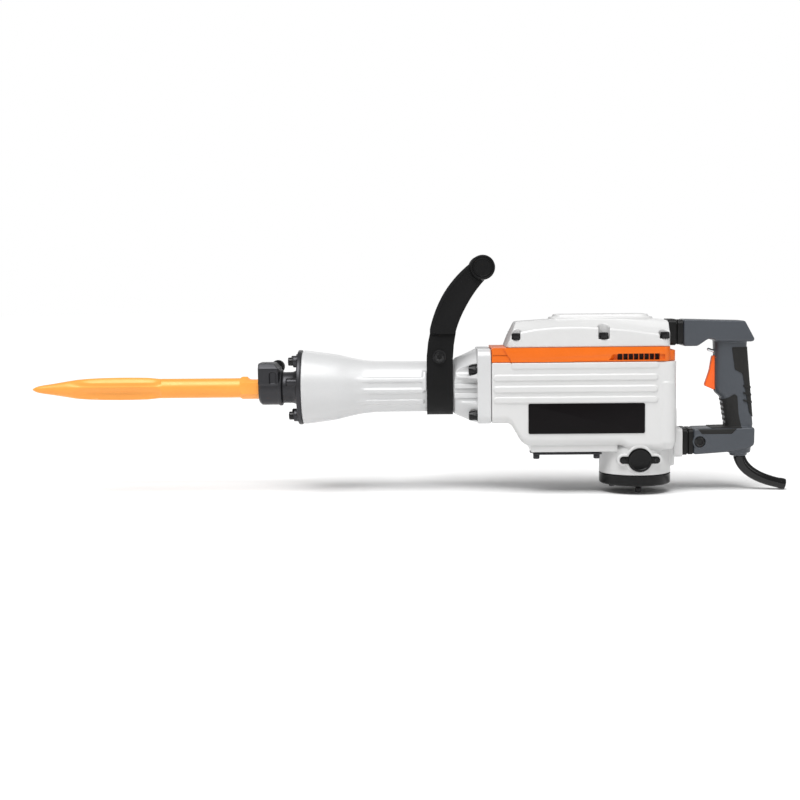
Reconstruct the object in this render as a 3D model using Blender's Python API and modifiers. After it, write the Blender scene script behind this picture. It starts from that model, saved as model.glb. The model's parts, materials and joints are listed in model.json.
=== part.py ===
"""Electric jackhammer (65 mm class demolition hammer) with its bull point chisel.

Lengths are millimetres in the hammer's own frame: x runs along the tool axis from the nose face
(x = 0) to the rear handle, z is up from the tool axis, -y is the left side.  One empty carries
everything, so that the origin ends up under the middle of the hammer, on the floor.
"""
import math

import bmesh
import bpy
from mathutils import Vector

MM = 0.001
GAP = 0.3

# Where the hammer's frame sits in the world
MIDDLE_X = 228.2
FLOOR_Z = -163.6

# Chisel and its seat
TIP_X = -352.0
SHANK_R = 15.0
HEX_FLATS = 30.0
HEX_START = -29.0
HEX_END = 58.0
BORE_FLATS = 30.6
RETAINER_X = 20.5
RETAINER_Z = 26.5
RETAINER_R = 10.6
RETAINER_FLAT = 8.2
KNOB_X = 25.8
KNOB_Z = 30.1
KNOB_R = 10.7

# Striking gear, all on the tool axis
CASE_BORE_R = 32.3
LINER_R = 32.0
AIR_BORE_R = 26.1
GUIDE_BORE_R = 20.3
PISTON_R = 25.8
STEM_R = 13.8

# Housing
BARREL_FRONT = 68.0
BARREL_REAR = 354.7
CASE_FRONT = 355.0
CASE_REAR = 633.0
COVER_REAR = 623.3
FLANGE_BOTTOM = -54.4
CASE_TOP = 38.0
HALF_WIDTH = 56.0
BAND_TOP = 60.2
VENT_START = 544.6
VENT_PITCH = 7.85
VENT_SLOTS = 8
MOTOR_X = 576.7
MOTOR_R = 54.3
MOTOR_BORE_R = 49.0
MOTOR_BOTTOM = -134.2
BRUSH_Z = -109.8

# Gear train: armature pinion, idler gear, idler pinion, crank gear
FAST_MODULE = 2.0
SLOW_MODULE = 3.0
PINION_TEETH = 10
IDLER_GEAR_TEETH = 27
IDLER_PINION_TEETH = 10
CRANK_GEAR_TEETH = 26
IDLER_X = MOTOR_X - FAST_MODULE * (PINION_TEETH + IDLER_GEAR_TEETH) / 2
CRANK_X = IDLER_X - SLOW_MODULE * (IDLER_PINION_TEETH + CRANK_GEAR_TEETH) / 2
CRANK_THROW = 12.0
CRANK_PIN_R = 7.0
ROD_LENGTH = 105.2

# Bolt patterns
FRONT_BOLT_YZ = (25.9, 41.2)
CASE_BOLT_Y = 45.0
CASE_BOLT_Z = (27.0, -42.0)
COVER_SCREW_X = (392.0, 523.0, 614.0)
COVER_SCREW_Y = 50.5
COVER_SCREW_SEAT = 72.0
BOTTOM_SCREW_X = (423.0, 514.0)
BOTTOM_SCREW_Y = 38.0
TAIL_SCREW_CIRCLE = 41.0
BRACKET_PIN_Y = (-16.0, 16.0)
BRACKET_PIN_Z = -52.0
BRUSH_EAR_REACH = 25.0

# Side handle
STRAP_X = 277.4
STRAP_WIDTH = 39.2
STRAP_R = 39.3
STRAP_THICK = 4.4
CLAMP_Z = 47.6
STRAP_TOP = 81.0
ARM_CENTRE = (457.6, 41.8)
ARM_R = 180.3
ARM_HALF = 19.0
ARM_FROM = math.radians(167.3)
ARM_TO = math.radians(129.6)
ARM_Y = 43.6
ARM_THICK = 9.0
GRIP_X = ARM_CENTRE[0] + ARM_R * math.cos(ARM_TO)
GRIP_Z = ARM_CENTRE[1] + ARM_R * math.sin(ARM_TO)
GRIP_R = 18.7
GRIP_HALF = 54.0

# Rear handle
HANDLE_PIVOT = (672.3, -86.9)
TRIGGER_PIVOT = (701.0, 41.0)
LOCK_PIN_FROM = (687.0, 53.2)
LOCK_PIN_TO = (712.0, 45.2)
GRIP_HALF_WIDTH = 18.0
ARM_HALF_WIDTH = 24.0

AXES = {
    "X": (0.0, math.pi / 2, 0.0),
    "Y": (-math.pi / 2, 0.0, 0.0),
    "Z": (0.0, 0.0, 0.0),
}
PLANES = {
    "XZ": (math.pi / 2, 0.0, 0.0),
    "YZ": (math.pi / 2, 0.0, math.pi / 2),
    "XY": (0.0, 0.0, 0.0),
}

# Colour, roughness, metallic
FINISHES = {
    "orange_steel": ((0.95, 0.42, 0.07), 0.4, 0.3),
    "black_casting": ((0.035, 0.036, 0.038), 0.5, 0.6),
    "light_grey_paint": ((0.68, 0.69, 0.71), 0.4, 0.2),
    "orange_paint": ((0.9, 0.24, 0.03), 0.4, 0.0),
    "black_plastic": ((0.02, 0.02, 0.022), 0.35, 0.0),
    "slate_plastic": ((0.085, 0.095, 0.105), 0.55, 0.0),
    "soft_rubber": ((0.03, 0.03, 0.032), 0.8, 0.0),
    "bright_steel": ((0.75, 0.76, 0.78), 0.2, 1.0),
    "machined_steel": ((0.5, 0.51, 0.53), 0.35, 1.0),
    "black_screw": ((0.03, 0.03, 0.033), 0.35, 0.8),
    "copper": ((0.8, 0.4, 0.2), 0.35, 1.0),
    "carbon": ((0.04, 0.04, 0.045), 0.6, 0.1),
}


# ---------------------------------------------------------------- scene and helpers

def clear_scene():
    for old in list(bpy.data.objects):
        bpy.data.objects.remove(old, do_unlink=True)


def new_collection(name):
    collection = bpy.data.collections.new(name)
    bpy.context.scene.collection.children.link(collection)
    return collection


def new_empty(name, x, y, z, parent):
    empty = bpy.data.objects.new(name, None)
    PARTS.objects.link(empty)
    empty.location = Vector((x, y, z)) * MM
    empty.parent = parent
    return empty


def new_object(mesh, at, turn):
    """A working shape in the cutter collection; finish() promotes it to a part."""
    shape = bpy.data.objects.new(mesh.name, mesh)
    CUTTERS.objects.link(shape)
    shape.location = Vector(at) * MM
    shape.rotation_euler = turn
    shape.parent = HAMMER
    shape.hide_render = True
    shape.display_type = 'WIRE'
    return shape


def material(finish):
    found = bpy.data.materials.get(finish)
    if found:
        return found
    colour, roughness, metallic = FINISHES[finish]
    made = bpy.data.materials.new(finish)
    made.use_nodes = True
    shader = made.node_tree.nodes["Principled BSDF"]
    shader.inputs["Base Color"].default_value = (*colour, 1.0)
    shader.inputs["Roughness"].default_value = roughness
    shader.inputs["Metallic"].default_value = metallic
    return made


def finish(shape, name, look, pivot=None):
    """Names a working shape, colours it and makes it a visible part of the hammer."""
    shape.name = name
    shape.data.name = name
    shape.hide_render = False
    shape.display_type = 'TEXTURED'
    CUTTERS.objects.unlink(shape)
    PARTS.objects.link(shape)
    shape.data.materials.clear()
    shape.data.materials.append(material(look).copy())
    shape.data.materials[0].name = name + "_" + look
    shape.data.set_sharp_from_angle(angle=math.radians(35))
    if pivot:
        shape.parent = pivot
        shape.location = shape.location - pivot.location
    return shape


def boolean(shape, other, operation):
    modifier = shape.modifiers.new(operation.lower() + "_" + other.name, 'BOOLEAN')
    modifier.operation = operation
    modifier.object = other
    return shape


def cut(shape, *cutters):
    for cutter in cutters:
        boolean(shape, cutter, 'DIFFERENCE')
    return shape


def join(shape, *others):
    for other in others:
        boolean(shape, other, 'UNION')
    return shape


def keep(shape, other):
    return boolean(shape, other, 'INTERSECT')


def bevel(shape, width, segments=1, angle=40):
    modifier = shape.modifiers.new("bevel", 'BEVEL')
    modifier.width = width * MM
    modifier.segments = segments
    modifier.limit_method = 'ANGLE'
    modifier.angle_limit = math.radians(angle)
    return shape


def mesh_from(bm, name):
    bmesh.ops.recalc_face_normals(bm, faces=bm.faces)
    mesh = bpy.data.meshes.new(name)
    bm.to_mesh(mesh)
    bm.free()
    return mesh


def box(x, y, z):
    """A box between three (low, high) pairs."""
    bm = bmesh.new()
    bmesh.ops.create_cube(bm, size=1.0)
    size = [(high - low) * MM for low, high in (x, y, z)]
    bmesh.ops.scale(bm, vec=size, verts=bm.verts)
    centre = [(low + high) / 2 for low, high in (x, y, z)]
    return new_object(mesh_from(bm, "box"), centre, AXES["Z"])


def cylinder(axis, radius, low, high, at=(0.0, 0.0), steps=24):
    """A cylinder along one axis from low to high; at holds its other two coordinates."""
    bm = bmesh.new()
    bmesh.ops.create_cone(bm, cap_ends=True, segments=steps, radius1=radius * MM,
                          radius2=radius * MM, depth=(high - low) * MM)
    middle = (low + high) / 2
    place = {
        "X": (middle, at[0], at[1]),
        "Y": (at[0], middle, at[1]),
        "Z": (at[0], at[1], middle),
    }[axis]
    return new_object(mesh_from(bm, "cylinder"), place, AXES[axis])


def turned(axis, profile, at=(0.0, 0.0), steps=24, ring=False):
    """A turned shape: (radius, height) points that run down the outer side."""
    mesh = bpy.data.meshes.new("turned")
    points = [(radius * MM, 0.0, height * MM) for radius, height in profile]
    edges = [(i, i + 1) for i in range(len(points) - 1)]
    if ring:
        edges.append((len(points) - 1, 0))
    mesh.from_pydata(points, edges, [])
    place = {"X": (0.0, at[0], at[1]), "Y": (at[0], 0.0, at[1]), "Z": (at[0], at[1], 0.0)}[axis]
    shape = new_object(mesh, place, AXES[axis])
    screw = shape.modifiers.new("turn", 'SCREW')
    screw.axis = 'Z'
    screw.steps = steps
    screw.render_steps = steps
    screw.use_merge_vertices = True
    screw.merge_threshold = 0.00001
    return shape


def arc(centre, radius, start, end, steps):
    """Points of an arc; the angles are in radians."""
    angles = [start + (end - start) * i / steps for i in range(steps + 1)]
    return [(centre[0] + radius * math.cos(a), centre[1] + radius * math.sin(a)) for a in angles]


def rounded(corners, steps=2):
    """Outline through (u, v, corner radius) points, each corner replaced by an arc."""
    outline = []
    count = len(corners)
    for i, (u, v, radius) in enumerate(corners):
        here = Vector((u, v))
        if radius == 0:
            outline.append((u, v))
            continue
        before = (Vector(corners[i - 1][:2]) - here).normalized()
        after = (Vector(corners[(i + 1) % count][:2]) - here).normalized()
        half = before.angle(after) / 2
        centre = here + (before + after).normalized() * radius / math.sin(half)
        first = here + before * radius / math.tan(half) - centre
        last = here + after * radius / math.tan(half) - centre
        for step in range(steps + 1):
            spoke = first.lerp(last, step / steps).normalized() * radius
            outline.append((centre.x + spoke.x, centre.y + spoke.y))
    return outline


def mesh_of_curve(curve, name):
    """The welded mesh of a curve, whose caps come loose."""
    holder = bpy.data.objects.new(name, curve)
    CUTTERS.objects.link(holder)
    graph = bpy.context.evaluated_depsgraph_get()
    raw = bpy.data.meshes.new_from_object(holder.evaluated_get(graph))
    bpy.data.objects.remove(holder, do_unlink=True)
    bm = bmesh.new()
    bm.from_mesh(raw)
    bmesh.ops.remove_doubles(bm, verts=bm.verts, dist=0.000001)
    return mesh_from(bm, name)


def plate(plane, loops, low, high):
    """One or more flat outlines (the later ones are holes), thick from low to high."""
    curve = bpy.data.curves.new("outline", 'CURVE')
    curve.dimensions = '2D'
    curve.fill_mode = 'BOTH'
    curve.extrude = (high - low) / 2 * MM
    for loop in loops:
        spline = curve.splines.new('POLY')
        spline.points.add(len(loop) - 1)
        for point, (u, v) in zip(spline.points, loop):
            point.co = (u * MM, v * MM, 0.0, 1.0)
        spline.use_cyclic_u = True
    middle = (low + high) / 2
    place = {"XZ": (0.0, middle, 0.0), "YZ": (middle, 0.0, 0.0), "XY": (0.0, 0.0, middle)}[plane]
    return new_object(mesh_of_curve(curve, "plate"), place, PLANES[plane])


def pipe(points, radii, resolution):
    """A round tube through (x, z) points in the middle plane, with a radius at each point."""
    curve = bpy.data.curves.new("pipe", 'CURVE')
    curve.dimensions = '3D'
    curve.bevel_depth = MM
    curve.bevel_resolution = resolution
    curve.use_fill_caps = True
    spline = curve.splines.new('POLY')
    spline.points.add(len(points) - 1)
    for point, (x, z), radius in zip(spline.points, points, radii):
        point.co = (x * MM, 0.0, z * MM, 1.0)
        point.radius = radius
    return new_object(mesh_of_curve(curve, "pipe"), (0.0, 0.0, 0.0), AXES["Z"])


def screw(axis, head_r, head, shank_r, tip, at, socket_r=0.0):
    """A cap screw: head = (outer face, seat), the shank runs from the seat to tip."""
    face, seat = head
    shape = cylinder(axis, head_r, min(face, seat), max(face, seat), at, 10)
    if socket_r:
        depth = face + (seat - face) * 0.55
        over = face - (seat - face) * 0.1
        cut(shape, cylinder(axis, socket_r, min(depth, over), max(depth, over), at, 6))
    start = seat + (face - seat) * 0.2
    return join(shape, cylinder(axis, shank_r, min(start, tip), max(start, tip), at, 6))


def involute_gear(teeth, module, low, high, x, turn=0.0):
    """A spur gear with short 25 degree teeth; one tooth points along +x when turn is 0."""
    pressure = math.radians(25)
    pitch_r = teeth * module / 2
    base_r = pitch_r * math.cos(pressure)
    tip_r = pitch_r + 0.8 * module
    root_r = pitch_r - module
    half_pitch = math.pi / (2 * teeth) - 0.05 * module / pitch_r

    def involute(radius):
        if radius <= base_r:
            return 0.0
        flank = math.acos(base_r / radius)
        return math.tan(flank) - flank

    def half_angle(radius):
        return half_pitch + involute(pitch_r) - involute(radius)

    outline = []
    for tooth in range(teeth):
        middle = turn + 2 * math.pi * tooth / teeth
        low_r = max(root_r, base_r * 0.999)
        side = [(root_r, half_angle(low_r)), (tip_r, half_angle(tip_r))]
        for radius, half in side:
            outline.append((radius, middle - half))
        for radius, half in reversed(side):
            outline.append((radius, middle + half))
    points = [(x + r * math.cos(a), r * math.sin(a)) for r, a in outline]
    return plate("XY", [points], low, high)


# ---------------------------------------------------------------- chisel and front end

def make_chisel():
    point = [(0.0, -20.0), (SHANK_R, -20.0), (SHANK_R, -145.0), (15.2, -155.0), (17.6, -178.0),
             (18.0, -212.0), (17.4, -250.0), (15.8, -274.0), (12.6, -295.0), (8.5, -320.0),
             (6.0, -338.0), (4.0, -347.5), (2.0, -351.3), (0.0, TIP_X)]
    shank = turned("X", point, steps=16)
    corner_r = HEX_FLATS / math.sqrt(3)
    hexagon = cylinder("X", corner_r, HEX_START, HEX_END, steps=6)
    ends = [(0.0, HEX_END + 1), (15.2, HEX_END), (corner_r + 0.5, HEX_END - 2.5),
            (corner_r + 0.5, HEX_START + 3.5), (15.6, HEX_START), (0.0, HEX_START - 1)]
    keep(hexagon, turned("X", ends, steps=24))
    join(shank, hexagon)
    for corner in range(4):
        angle = math.radians(45 + 90 * corner)
        bm = bmesh.new()
        bmesh.ops.create_uvsphere(bm, u_segments=10, v_segments=8, radius=MM)
        bmesh.ops.scale(bm, vec=(13.0, 13.0, 82.0), verts=bm.verts)
        flute = new_object(mesh_from(bm, "flute"),
                           (-224.0, 22.6 * math.cos(angle), 22.6 * math.sin(angle)), AXES["X"])
        cut(shank, flute)
    notch = rounded([(-20.0, 20.0, 0), (-17.0, 12.3, 6), (50.0, 12.3, 6), (53.0, 20.0, 0)])
    cut(shank, plate("XZ", [notch], -20.0, 20.0))
    return finish(shank, "chisel", "orange_steel", CHISEL_PIVOT)


def make_front_cap():
    neck = arc((34.5, 50.0), 11.0, math.radians(90), math.radians(180), 3)
    profile = [(0.0, 78.0), (31.9, 78.0), (31.9, 67.7), (57.3, 67.7), (57.3, 62.0), (56.3, 61.0)]
    profile += neck
    profile += [(23.5, 36.0), (27.8, 35.0), (27.8, 31.6), (26.4, 30.8), (26.4, 4.6), (22.0, 0.0),
                (0.0, 0.0)]
    cap = turned("X", profile, steps=26)
    block = [(-27.2, 4.0), (27.2, 4.0), (27.2, 32.0), (20.5, 38.5), (-20.5, 38.5),
             (-27.2, 32.0)]
    join(cap, plate("YZ", [block], 0.8, 33.0))
    cut(cap, cylinder("X", BORE_FLATS / math.sqrt(3), -1.0, 60.0, steps=6))
    cut(cap, cylinder("X", STEM_R + 0.4, 55.0, 79.0))
    cut(cap, cylinder("Y", RETAINER_R + GAP, -20.3, 30.0, (RETAINER_X, RETAINER_Z)))
    cut(cap, box((18.5, 28.0), (-29.0, -24.3), (9.0, 25.0)))
    y, z = FRONT_BOLT_YZ
    for side_y in (-y, y):
        for side_z in (-z, z):
            cut(cap, cylinder("X", 4.3, 50.0, 70.0, (side_y, side_z), 6))
    return finish(cap, "front_cap", "black_casting")


def make_retainer():
    at = (RETAINER_X, RETAINER_Z)
    pin = cylinder("Y", RETAINER_R, -20.0, 28.2, at)
    top = RETAINER_Z + RETAINER_FLAT
    cut(pin, box((RETAINER_X - 15, RETAINER_X + 15), (-22.0, 22.0), (top, top + 10)))
    knob = cylinder("Y", KNOB_R, 27.5, 38.0, (KNOB_X, KNOB_Z), 24)
    join(pin, bevel(knob, 1.5))
    return finish(pin, "retainer", "bright_steel", RETAINER_PIVOT)


def make_front_bolts():
    y, z = FRONT_BOLT_YZ
    places = [(-y, z), (y, z), (-y, -z), (y, -z)]
    for number, at in enumerate(places, 1):
        bolt = screw("X", 6.25, (47.5, 60.7), 4.0, 86.0, at, 3.2)
        finish(bolt, f"front_bolt_{number}", "black_screw")


def make_cylinder_case():
    profile = [(0.0, 345.0), (57.4, 345.0), (57.4, 333.0), (48.6, 314.0), (43.2, 300.6),
               (38.8, 298.2), (38.8, 253.0), (39.3, 179.0), (42.0, 152.0), (49.3, 124.0),
               (54.7, 87.0), (57.0, BARREL_FRONT), (0.0, BARREL_FRONT)]
    case = turned("X", profile)
    square = rounded([(-56.0, FLANGE_BOTTOM, 12), (56.0, FLANGE_BOTTOM, 12), (56.0, 58.4, 12),
                      (-56.0, 58.4, 12)], 1)
    cut(case, box((290.0, 350.0), (-60.0, 60.0), (-70.0, FLANGE_BOTTOM + 0.5)))
    join(case, plate("YZ", [square], 334.0, BARREL_REAR))
    cut(case, cylinder("X", CASE_BORE_R, 60.0, 360.0))
    y, z = FRONT_BOLT_YZ
    for side_y in (-y, y):
        for side_z in (-z, z):
            cut(case, cylinder("X", 4.3, 60.0, 87.0, (side_y, side_z), 6))
    for side_y in (-CASE_BOLT_Y, CASE_BOLT_Y):
        for side_z in CASE_BOLT_Z:
            cut(case, cylinder("X", 8.2, 305.0, 334.2, (side_y, side_z), 10))
            cut(case, cylinder("X", 4.3, 330.0, 360.0, (side_y, side_z), 6))
    return finish(case, "cylinder_case", "light_grey_paint")


def make_case_bolts():
    places = [(-CASE_BOLT_Y, CASE_BOLT_Z[0]), (CASE_BOLT_Y, CASE_BOLT_Z[0]),
              (-CASE_BOLT_Y, CASE_BOLT_Z[1]), (CASE_BOLT_Y, CASE_BOLT_Z[1])]
    for number, at in enumerate(places, 1):
        bolt = screw("X", 6.8, (321.0, 333.7), 4.0, 373.0, at, 3.6)
        finish(bolt, f"case_bolt_{number}", "black_screw")


# ---------------------------------------------------------------- striking gear

def make_cylinder_liner():
    profile = [(LINER_R, 392.0), (LINER_R, 78.4), (GUIDE_BORE_R, 78.4), (GUIDE_BORE_R, 200.0),
               (AIR_BORE_R, 200.0), (AIR_BORE_R, 392.0)]
    return finish(turned("X", profile, ring=True), "cylinder_liner", "machined_steel")


def make_impact_bolt():
    profile = [(0.0, 205.0), (10.5, 205.0), (12.0, 202.0), (12.0, 187.0), (20.0, 183.0),
               (20.0, 86.0), (STEM_R, 84.0), (STEM_R, 64.0), (12.0, 62.0), (0.0, 62.0)]
    return finish(turned("X", profile, steps=16), "impact_bolt", "machined_steel", BOLT_PIVOT)


def make_striker():
    profile = [(0.0, 300.0), (24.5, 300.0), (PISTON_R, 298.0), (PISTON_R, 256.0), (24.6, 255.0),
               (24.6, 251.0), (PISTON_R, 250.0), (PISTON_R, 237.0), (23.5, 235.0), (0.0, 235.0)]
    return finish(turned("X", profile, steps=16), "striker", "machined_steel", STRIKER_PIVOT)


def make_piston():
    profile = [(22.3, 390.0), (PISTON_R, 390.0), (PISTON_R, 329.0), (24.6, 328.0), (24.6, 323.0),
               (PISTON_R, 322.0), (PISTON_R, 316.5), (24.5, 315.0), (0.0, 315.0)]
    cup = turned("X", [(0.0, 327.0), (22.3, 327.0)] + profile, steps=16)
    return finish(cup, "piston", "machined_steel", PISTON_PIVOT)


def make_connecting_rod():
    big_x = CRANK_X - CRANK_THROW
    small_x = big_x - ROD_LENGTH
    rod = cylinder("Z", 14.0, -7.0, 7.0, (big_x, 0.0), 24)
    join(rod, cylinder("Z", 8.0, -7.0, 7.0, (small_x, 0.0), 16))
    join(rod, cylinder("Z", 5.0, -9.0, 9.0, (small_x, 0.0), 10))
    join(rod, box((small_x + 4, big_x - 9), (-5.5, 5.5), (-4.5, 4.5)))
    cut(rod, cylinder("Z", CRANK_PIN_R + GAP, -12.0, 12.0, (big_x, 0.0), 16))
    return finish(rod, "connecting_rod", "machined_steel", ROD_PIVOT)


def make_crankshaft():
    shaft = [(0.0, 97.0), (8.0, 97.0), (8.0, 76.0), (15.0, 75.0), (15.0, 63.0), (10.0, 62.0),
             (10.0, 22.5), (22.0, 22.0), (22.0, 14.0), (0.0, 14.0)]
    crank = involute_gear(CRANK_GEAR_TEETH, SLOW_MODULE, 65.0, 74.0, CRANK_X)
    join(crank, turned("Z", shaft, (CRANK_X, 0.0), 16))
    join(crank, cylinder("Z", CRANK_PIN_R, -12.0, 15.0, (CRANK_X - CRANK_THROW, 0.0), 16))
    return finish(crank, "crankshaft", "machined_steel", CRANK_PIVOT)


def make_idler_gear():
    gear = involute_gear(IDLER_GEAR_TEETH, FAST_MODULE, 79.0, 86.0, IDLER_X)
    shaft = [(0.0, 97.0), (5.0, 97.0), (5.0, 88.0), (9.0, 88.0), (9.0, 63.0), (5.0, 62.5),
             (5.0, 58.2), (0.0, 58.2)]
    join(gear, turned("Z", shaft, (IDLER_X, 0.0), 12))
    half_tooth = math.pi / IDLER_PINION_TEETH
    join(gear, involute_gear(IDLER_PINION_TEETH, SLOW_MODULE, 64.5, 75.5, IDLER_X, half_tooth))
    return finish(gear, "idler_gear", "machined_steel", IDLER_PIVOT)


# ---------------------------------------------------------------- motor

def make_armature():
    profile = [(0.0, 92.0), (5.0, 92.0), (5.0, 12.0), (11.0, 11.0), (11.0, 6.0), (35.5, 5.0),
               (35.5, -70.0), (15.0, -76.0), (11.0, -82.0), (11.0, -97.0), (18.0, -98.0),
               (18.0, -122.0), (6.0, -123.0), (6.0, -146.0), (0.0, -146.0)]
    armature = turned("Z", profile, (MOTOR_X, 0.0), 14)
    half_tooth = math.pi / PINION_TEETH
    join(armature, involute_gear(PINION_TEETH, FAST_MODULE, 77.5, 88.0, MOTOR_X, half_tooth))
    return finish(armature, "armature", "copper", MOTOR_PIVOT)


def make_cooling_fan():
    hub = turned("Z", [(43.0, 42.5), (43.0, 40.5), (5.3, 40.5), (5.3, 56.0), (10.0, 56.0),
                       (10.0, 42.5)], (MOTOR_X, 0.0), 18, ring=True)
    blades = 7
    for number in range(blades):
        angle = 2 * math.pi * number / blades
        blade = box((9.0, 42.5), (-1.0, 1.0), (41.5, 54.0))
        blade.location = Vector((MOTOR_X + 25.5 * math.cos(angle), 25.5 * math.sin(angle),
                                 47.6)) * MM
        blade.rotation_euler = (0.0, 0.0, angle + 0.25)
        join(hub, blade)
    return finish(hub, "cooling_fan", "black_plastic", MOTOR_PIVOT)


def make_stator():
    profile = [(MOTOR_BORE_R - 0.4, 12.0), (MOTOR_BORE_R - 0.4, -78.0), (36.3, -78.0),
               (36.3, 12.0)]
    stator = turned("Z", profile, (MOTOR_X, 0.0), ring=True)
    return finish(stator, "stator", "machined_steel")


def make_motor_bearings():
    top = turned("Z", [(16.0, 37.7), (16.0, 27.0), (5.3, 27.0), (5.3, 37.7)], (MOTOR_X, 0.0),
                 12, ring=True)
    finish(top, "motor_bearing_top", "bright_steel")
    bottom = turned("Z", [(13.0, -137.0), (13.0, -146.5), (6.3, -146.5), (6.3, -137.0)],
                    (MOTOR_X, 0.0), 14, ring=True)
    finish(bottom, "motor_bearing_bottom", "bright_steel")


def make_brushes():
    for side, name in ((-1, "left"), (1, "right")):
        y = sorted((18.4 * side, 44.0 * side))
        brush = box((MOTOR_X - 4.0, MOTOR_X + 4.0), y, (BRUSH_Z - 6.0, BRUSH_Z + 6.0))
        finish(brush, f"brush_{name}", "carbon", BRUSH_PIVOTS[name])


def ear_bar(reach, half_height):
    """The round-ended bar across a brush cap and across the boss under it."""
    corners = [(-reach, -half_height), (reach, -half_height), (reach, half_height),
               (-reach, half_height)]
    return rounded([(MOTOR_X + u, BRUSH_Z + v, half_height * 0.95) for u, v in corners], 3)


def make_brush_caps():
    for side, name in ((-1, "left"), (1, "right")):
        low, high = sorted((56.6 * side, 58.6 * side))
        cap = plate("XZ", [ear_bar(BRUSH_EAR_REACH + 5.2, 5.4)], low, high)
        for radius, inner, outer in ((18.0, 56.8, 60.4), (10.0, 38.5, 57.5)):
            low, high = sorted((inner * side, outer * side))
            join(cap, cylinder("Y", radius, low, high, (MOTOR_X, BRUSH_Z)))
        for ear in (-BRUSH_EAR_REACH, BRUSH_EAR_REACH):
            low, high = sorted((57.5 * side, 60.0 * side))
            join(cap, cylinder("Y", 4.0, low, high, (MOTOR_X + ear, BRUSH_Z), 8))
        y = sorted((36.0 * side, 51.5 * side))
        cut(cap, box((MOTOR_X - 4.3, MOTOR_X + 4.3), y, (BRUSH_Z - 6.3, BRUSH_Z + 6.3)))
        finish(cap, f"brush_cap_{name}", "black_plastic")


# ---------------------------------------------------------------- housing

def make_crank_case():
    side_view = rounded([
        (CASE_FRONT, CASE_TOP, 0), (CASE_FRONT, -54.0, 0), (383.0, -54.0, 10),
        (401.0, -86.5, 14), (548.0, -88.0, 10), (560.0, -98.0, 6), (616.0, -98.0, 14),
        (CASE_REAR, -74.0, 14), (CASE_REAR, CASE_TOP, 0)])
    case = bevel(plate("XZ", [side_view], -HALF_WIDTH, HALF_WIDTH), 9.0, 1, 60)
    join(case, cylinder("Z", MOTOR_R, MOTOR_BOTTOM, -60.0, (MOTOR_X, 0.0), 36))
    join(case, box((414.5, 545.0), (-47.0, 47.0), (-98.4, -70.0)))
    join(case, plate("XZ", [ear_bar(BRUSH_EAR_REACH + 9.0, 8.6)], -56.1, 56.1))
    join(case, cylinder("Y", 21.3, -56.4, 56.4, (MOTOR_X, BRUSH_Z), 36))
    for height in (15.0, -2.4, -18.4):
        for y in ((-58.0, -50.0), (50.0, 58.0)):
            join(case, box((360.0, 602.0), y, (height - 3.8, height + 3.8)))
    cut(case, cylinder("X", CASE_BORE_R, 350.0, 400.0))
    cut(case, box((393.0, 514.0), (-29.0, 29.0), (-36.0, 30.5)))
    cut(case, box((425.0, 510.0), (-29.0, 29.0), (-105.0, -20.0)))
    cut(case, cylinder("Z", 10.3, 20.0, 45.0, (CRANK_X, 0.0)))
    cut(case, cylinder("Z", MOTOR_BORE_R, -140.0, 26.0, (MOTOR_X, 0.0), 32))
    cut(case, cylinder("Z", 16.3, 20.0, 45.0, (MOTOR_X, 0.0)))
    for quarter in range(4):
        angle = math.radians(45 + 90 * quarter)
        vent = (MOTOR_X + 33.0 * math.cos(angle), 33.0 * math.sin(angle))
        cut(case, cylinder("Z", 9.0, 20.0, 45.0, vent, 10))
    cut(case, cylinder("Y", 10.3, -60.0, 60.0, (MOTOR_X, BRUSH_Z)))
    for side_y in (-CASE_BOLT_Y, CASE_BOLT_Y):
        for side_z in CASE_BOLT_Z:
            cut(case, cylinder("X", 4.3, 350.0, 374.0, (side_y, side_z), 6))
    for side_y in (-COVER_SCREW_Y, COVER_SCREW_Y):
        for x in COVER_SCREW_X:
            cut(case, cylinder("Z", 3.3, 20.0, 45.0, (x, side_y), 6))
    for side_y in (-BOTTOM_SCREW_Y, BOTTOM_SCREW_Y):
        for x in BOTTOM_SCREW_X:
            cut(case, cylinder("Z", 3.3, -110.0, -84.0, (x, side_y), 6))
    cut(case, *bracket_bolt_holes())
    return finish(case, "crank_case", "light_grey_paint")


def bracket_bolt_holes():
    """Blind holes for the two pins that locate the handle bracket."""
    return [cylinder("X", 4.3, 627.0, 650.0, (y, BRACKET_PIN_Z), 8) for y in BRACKET_PIN_Y]


def make_cover_band():
    outline = rounded([(CASE_FRONT, -57.0, 10), (COVER_REAR, -57.0, 14), (COVER_REAR, 57.0, 14),
                       (CASE_FRONT, 57.0, 10)], 2)
    band = plate("XY", [outline], CASE_TOP + GAP, BAND_TOP)
    join(band, box((600.0, 632.6), (-42.0, 42.0), (40.0, 54.0)))
    cut(band, cylinder("Z", 44.5, 30.0, 57.3, (MOTOR_X, 0.0), 24))
    cut(band, cylinder("Z", 9.2, 50.0, 65.0, (MOTOR_X, 0.0), 16))
    cut(band, cylinder("Z", 10.3, 30.0, 65.0, (CRANK_X, 0.0)))
    cut(band, cylinder("Z", 5.3, 50.0, 65.0, (IDLER_X, 0.0), 16))
    for number in range(VENT_SLOTS):
        x = VENT_START + VENT_PITCH * number
        cut(band, box((x, x + 6.0), (-60.0, 60.0), (41.2, 50.2)))
    for side_y in (-COVER_SCREW_Y, COVER_SCREW_Y):
        for x in COVER_SCREW_X:
            cut(band, cylinder("Z", 3.3, 30.0, 65.0, (x, side_y), 6))
    return finish(band, "cover_band", "orange_paint")


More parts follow.
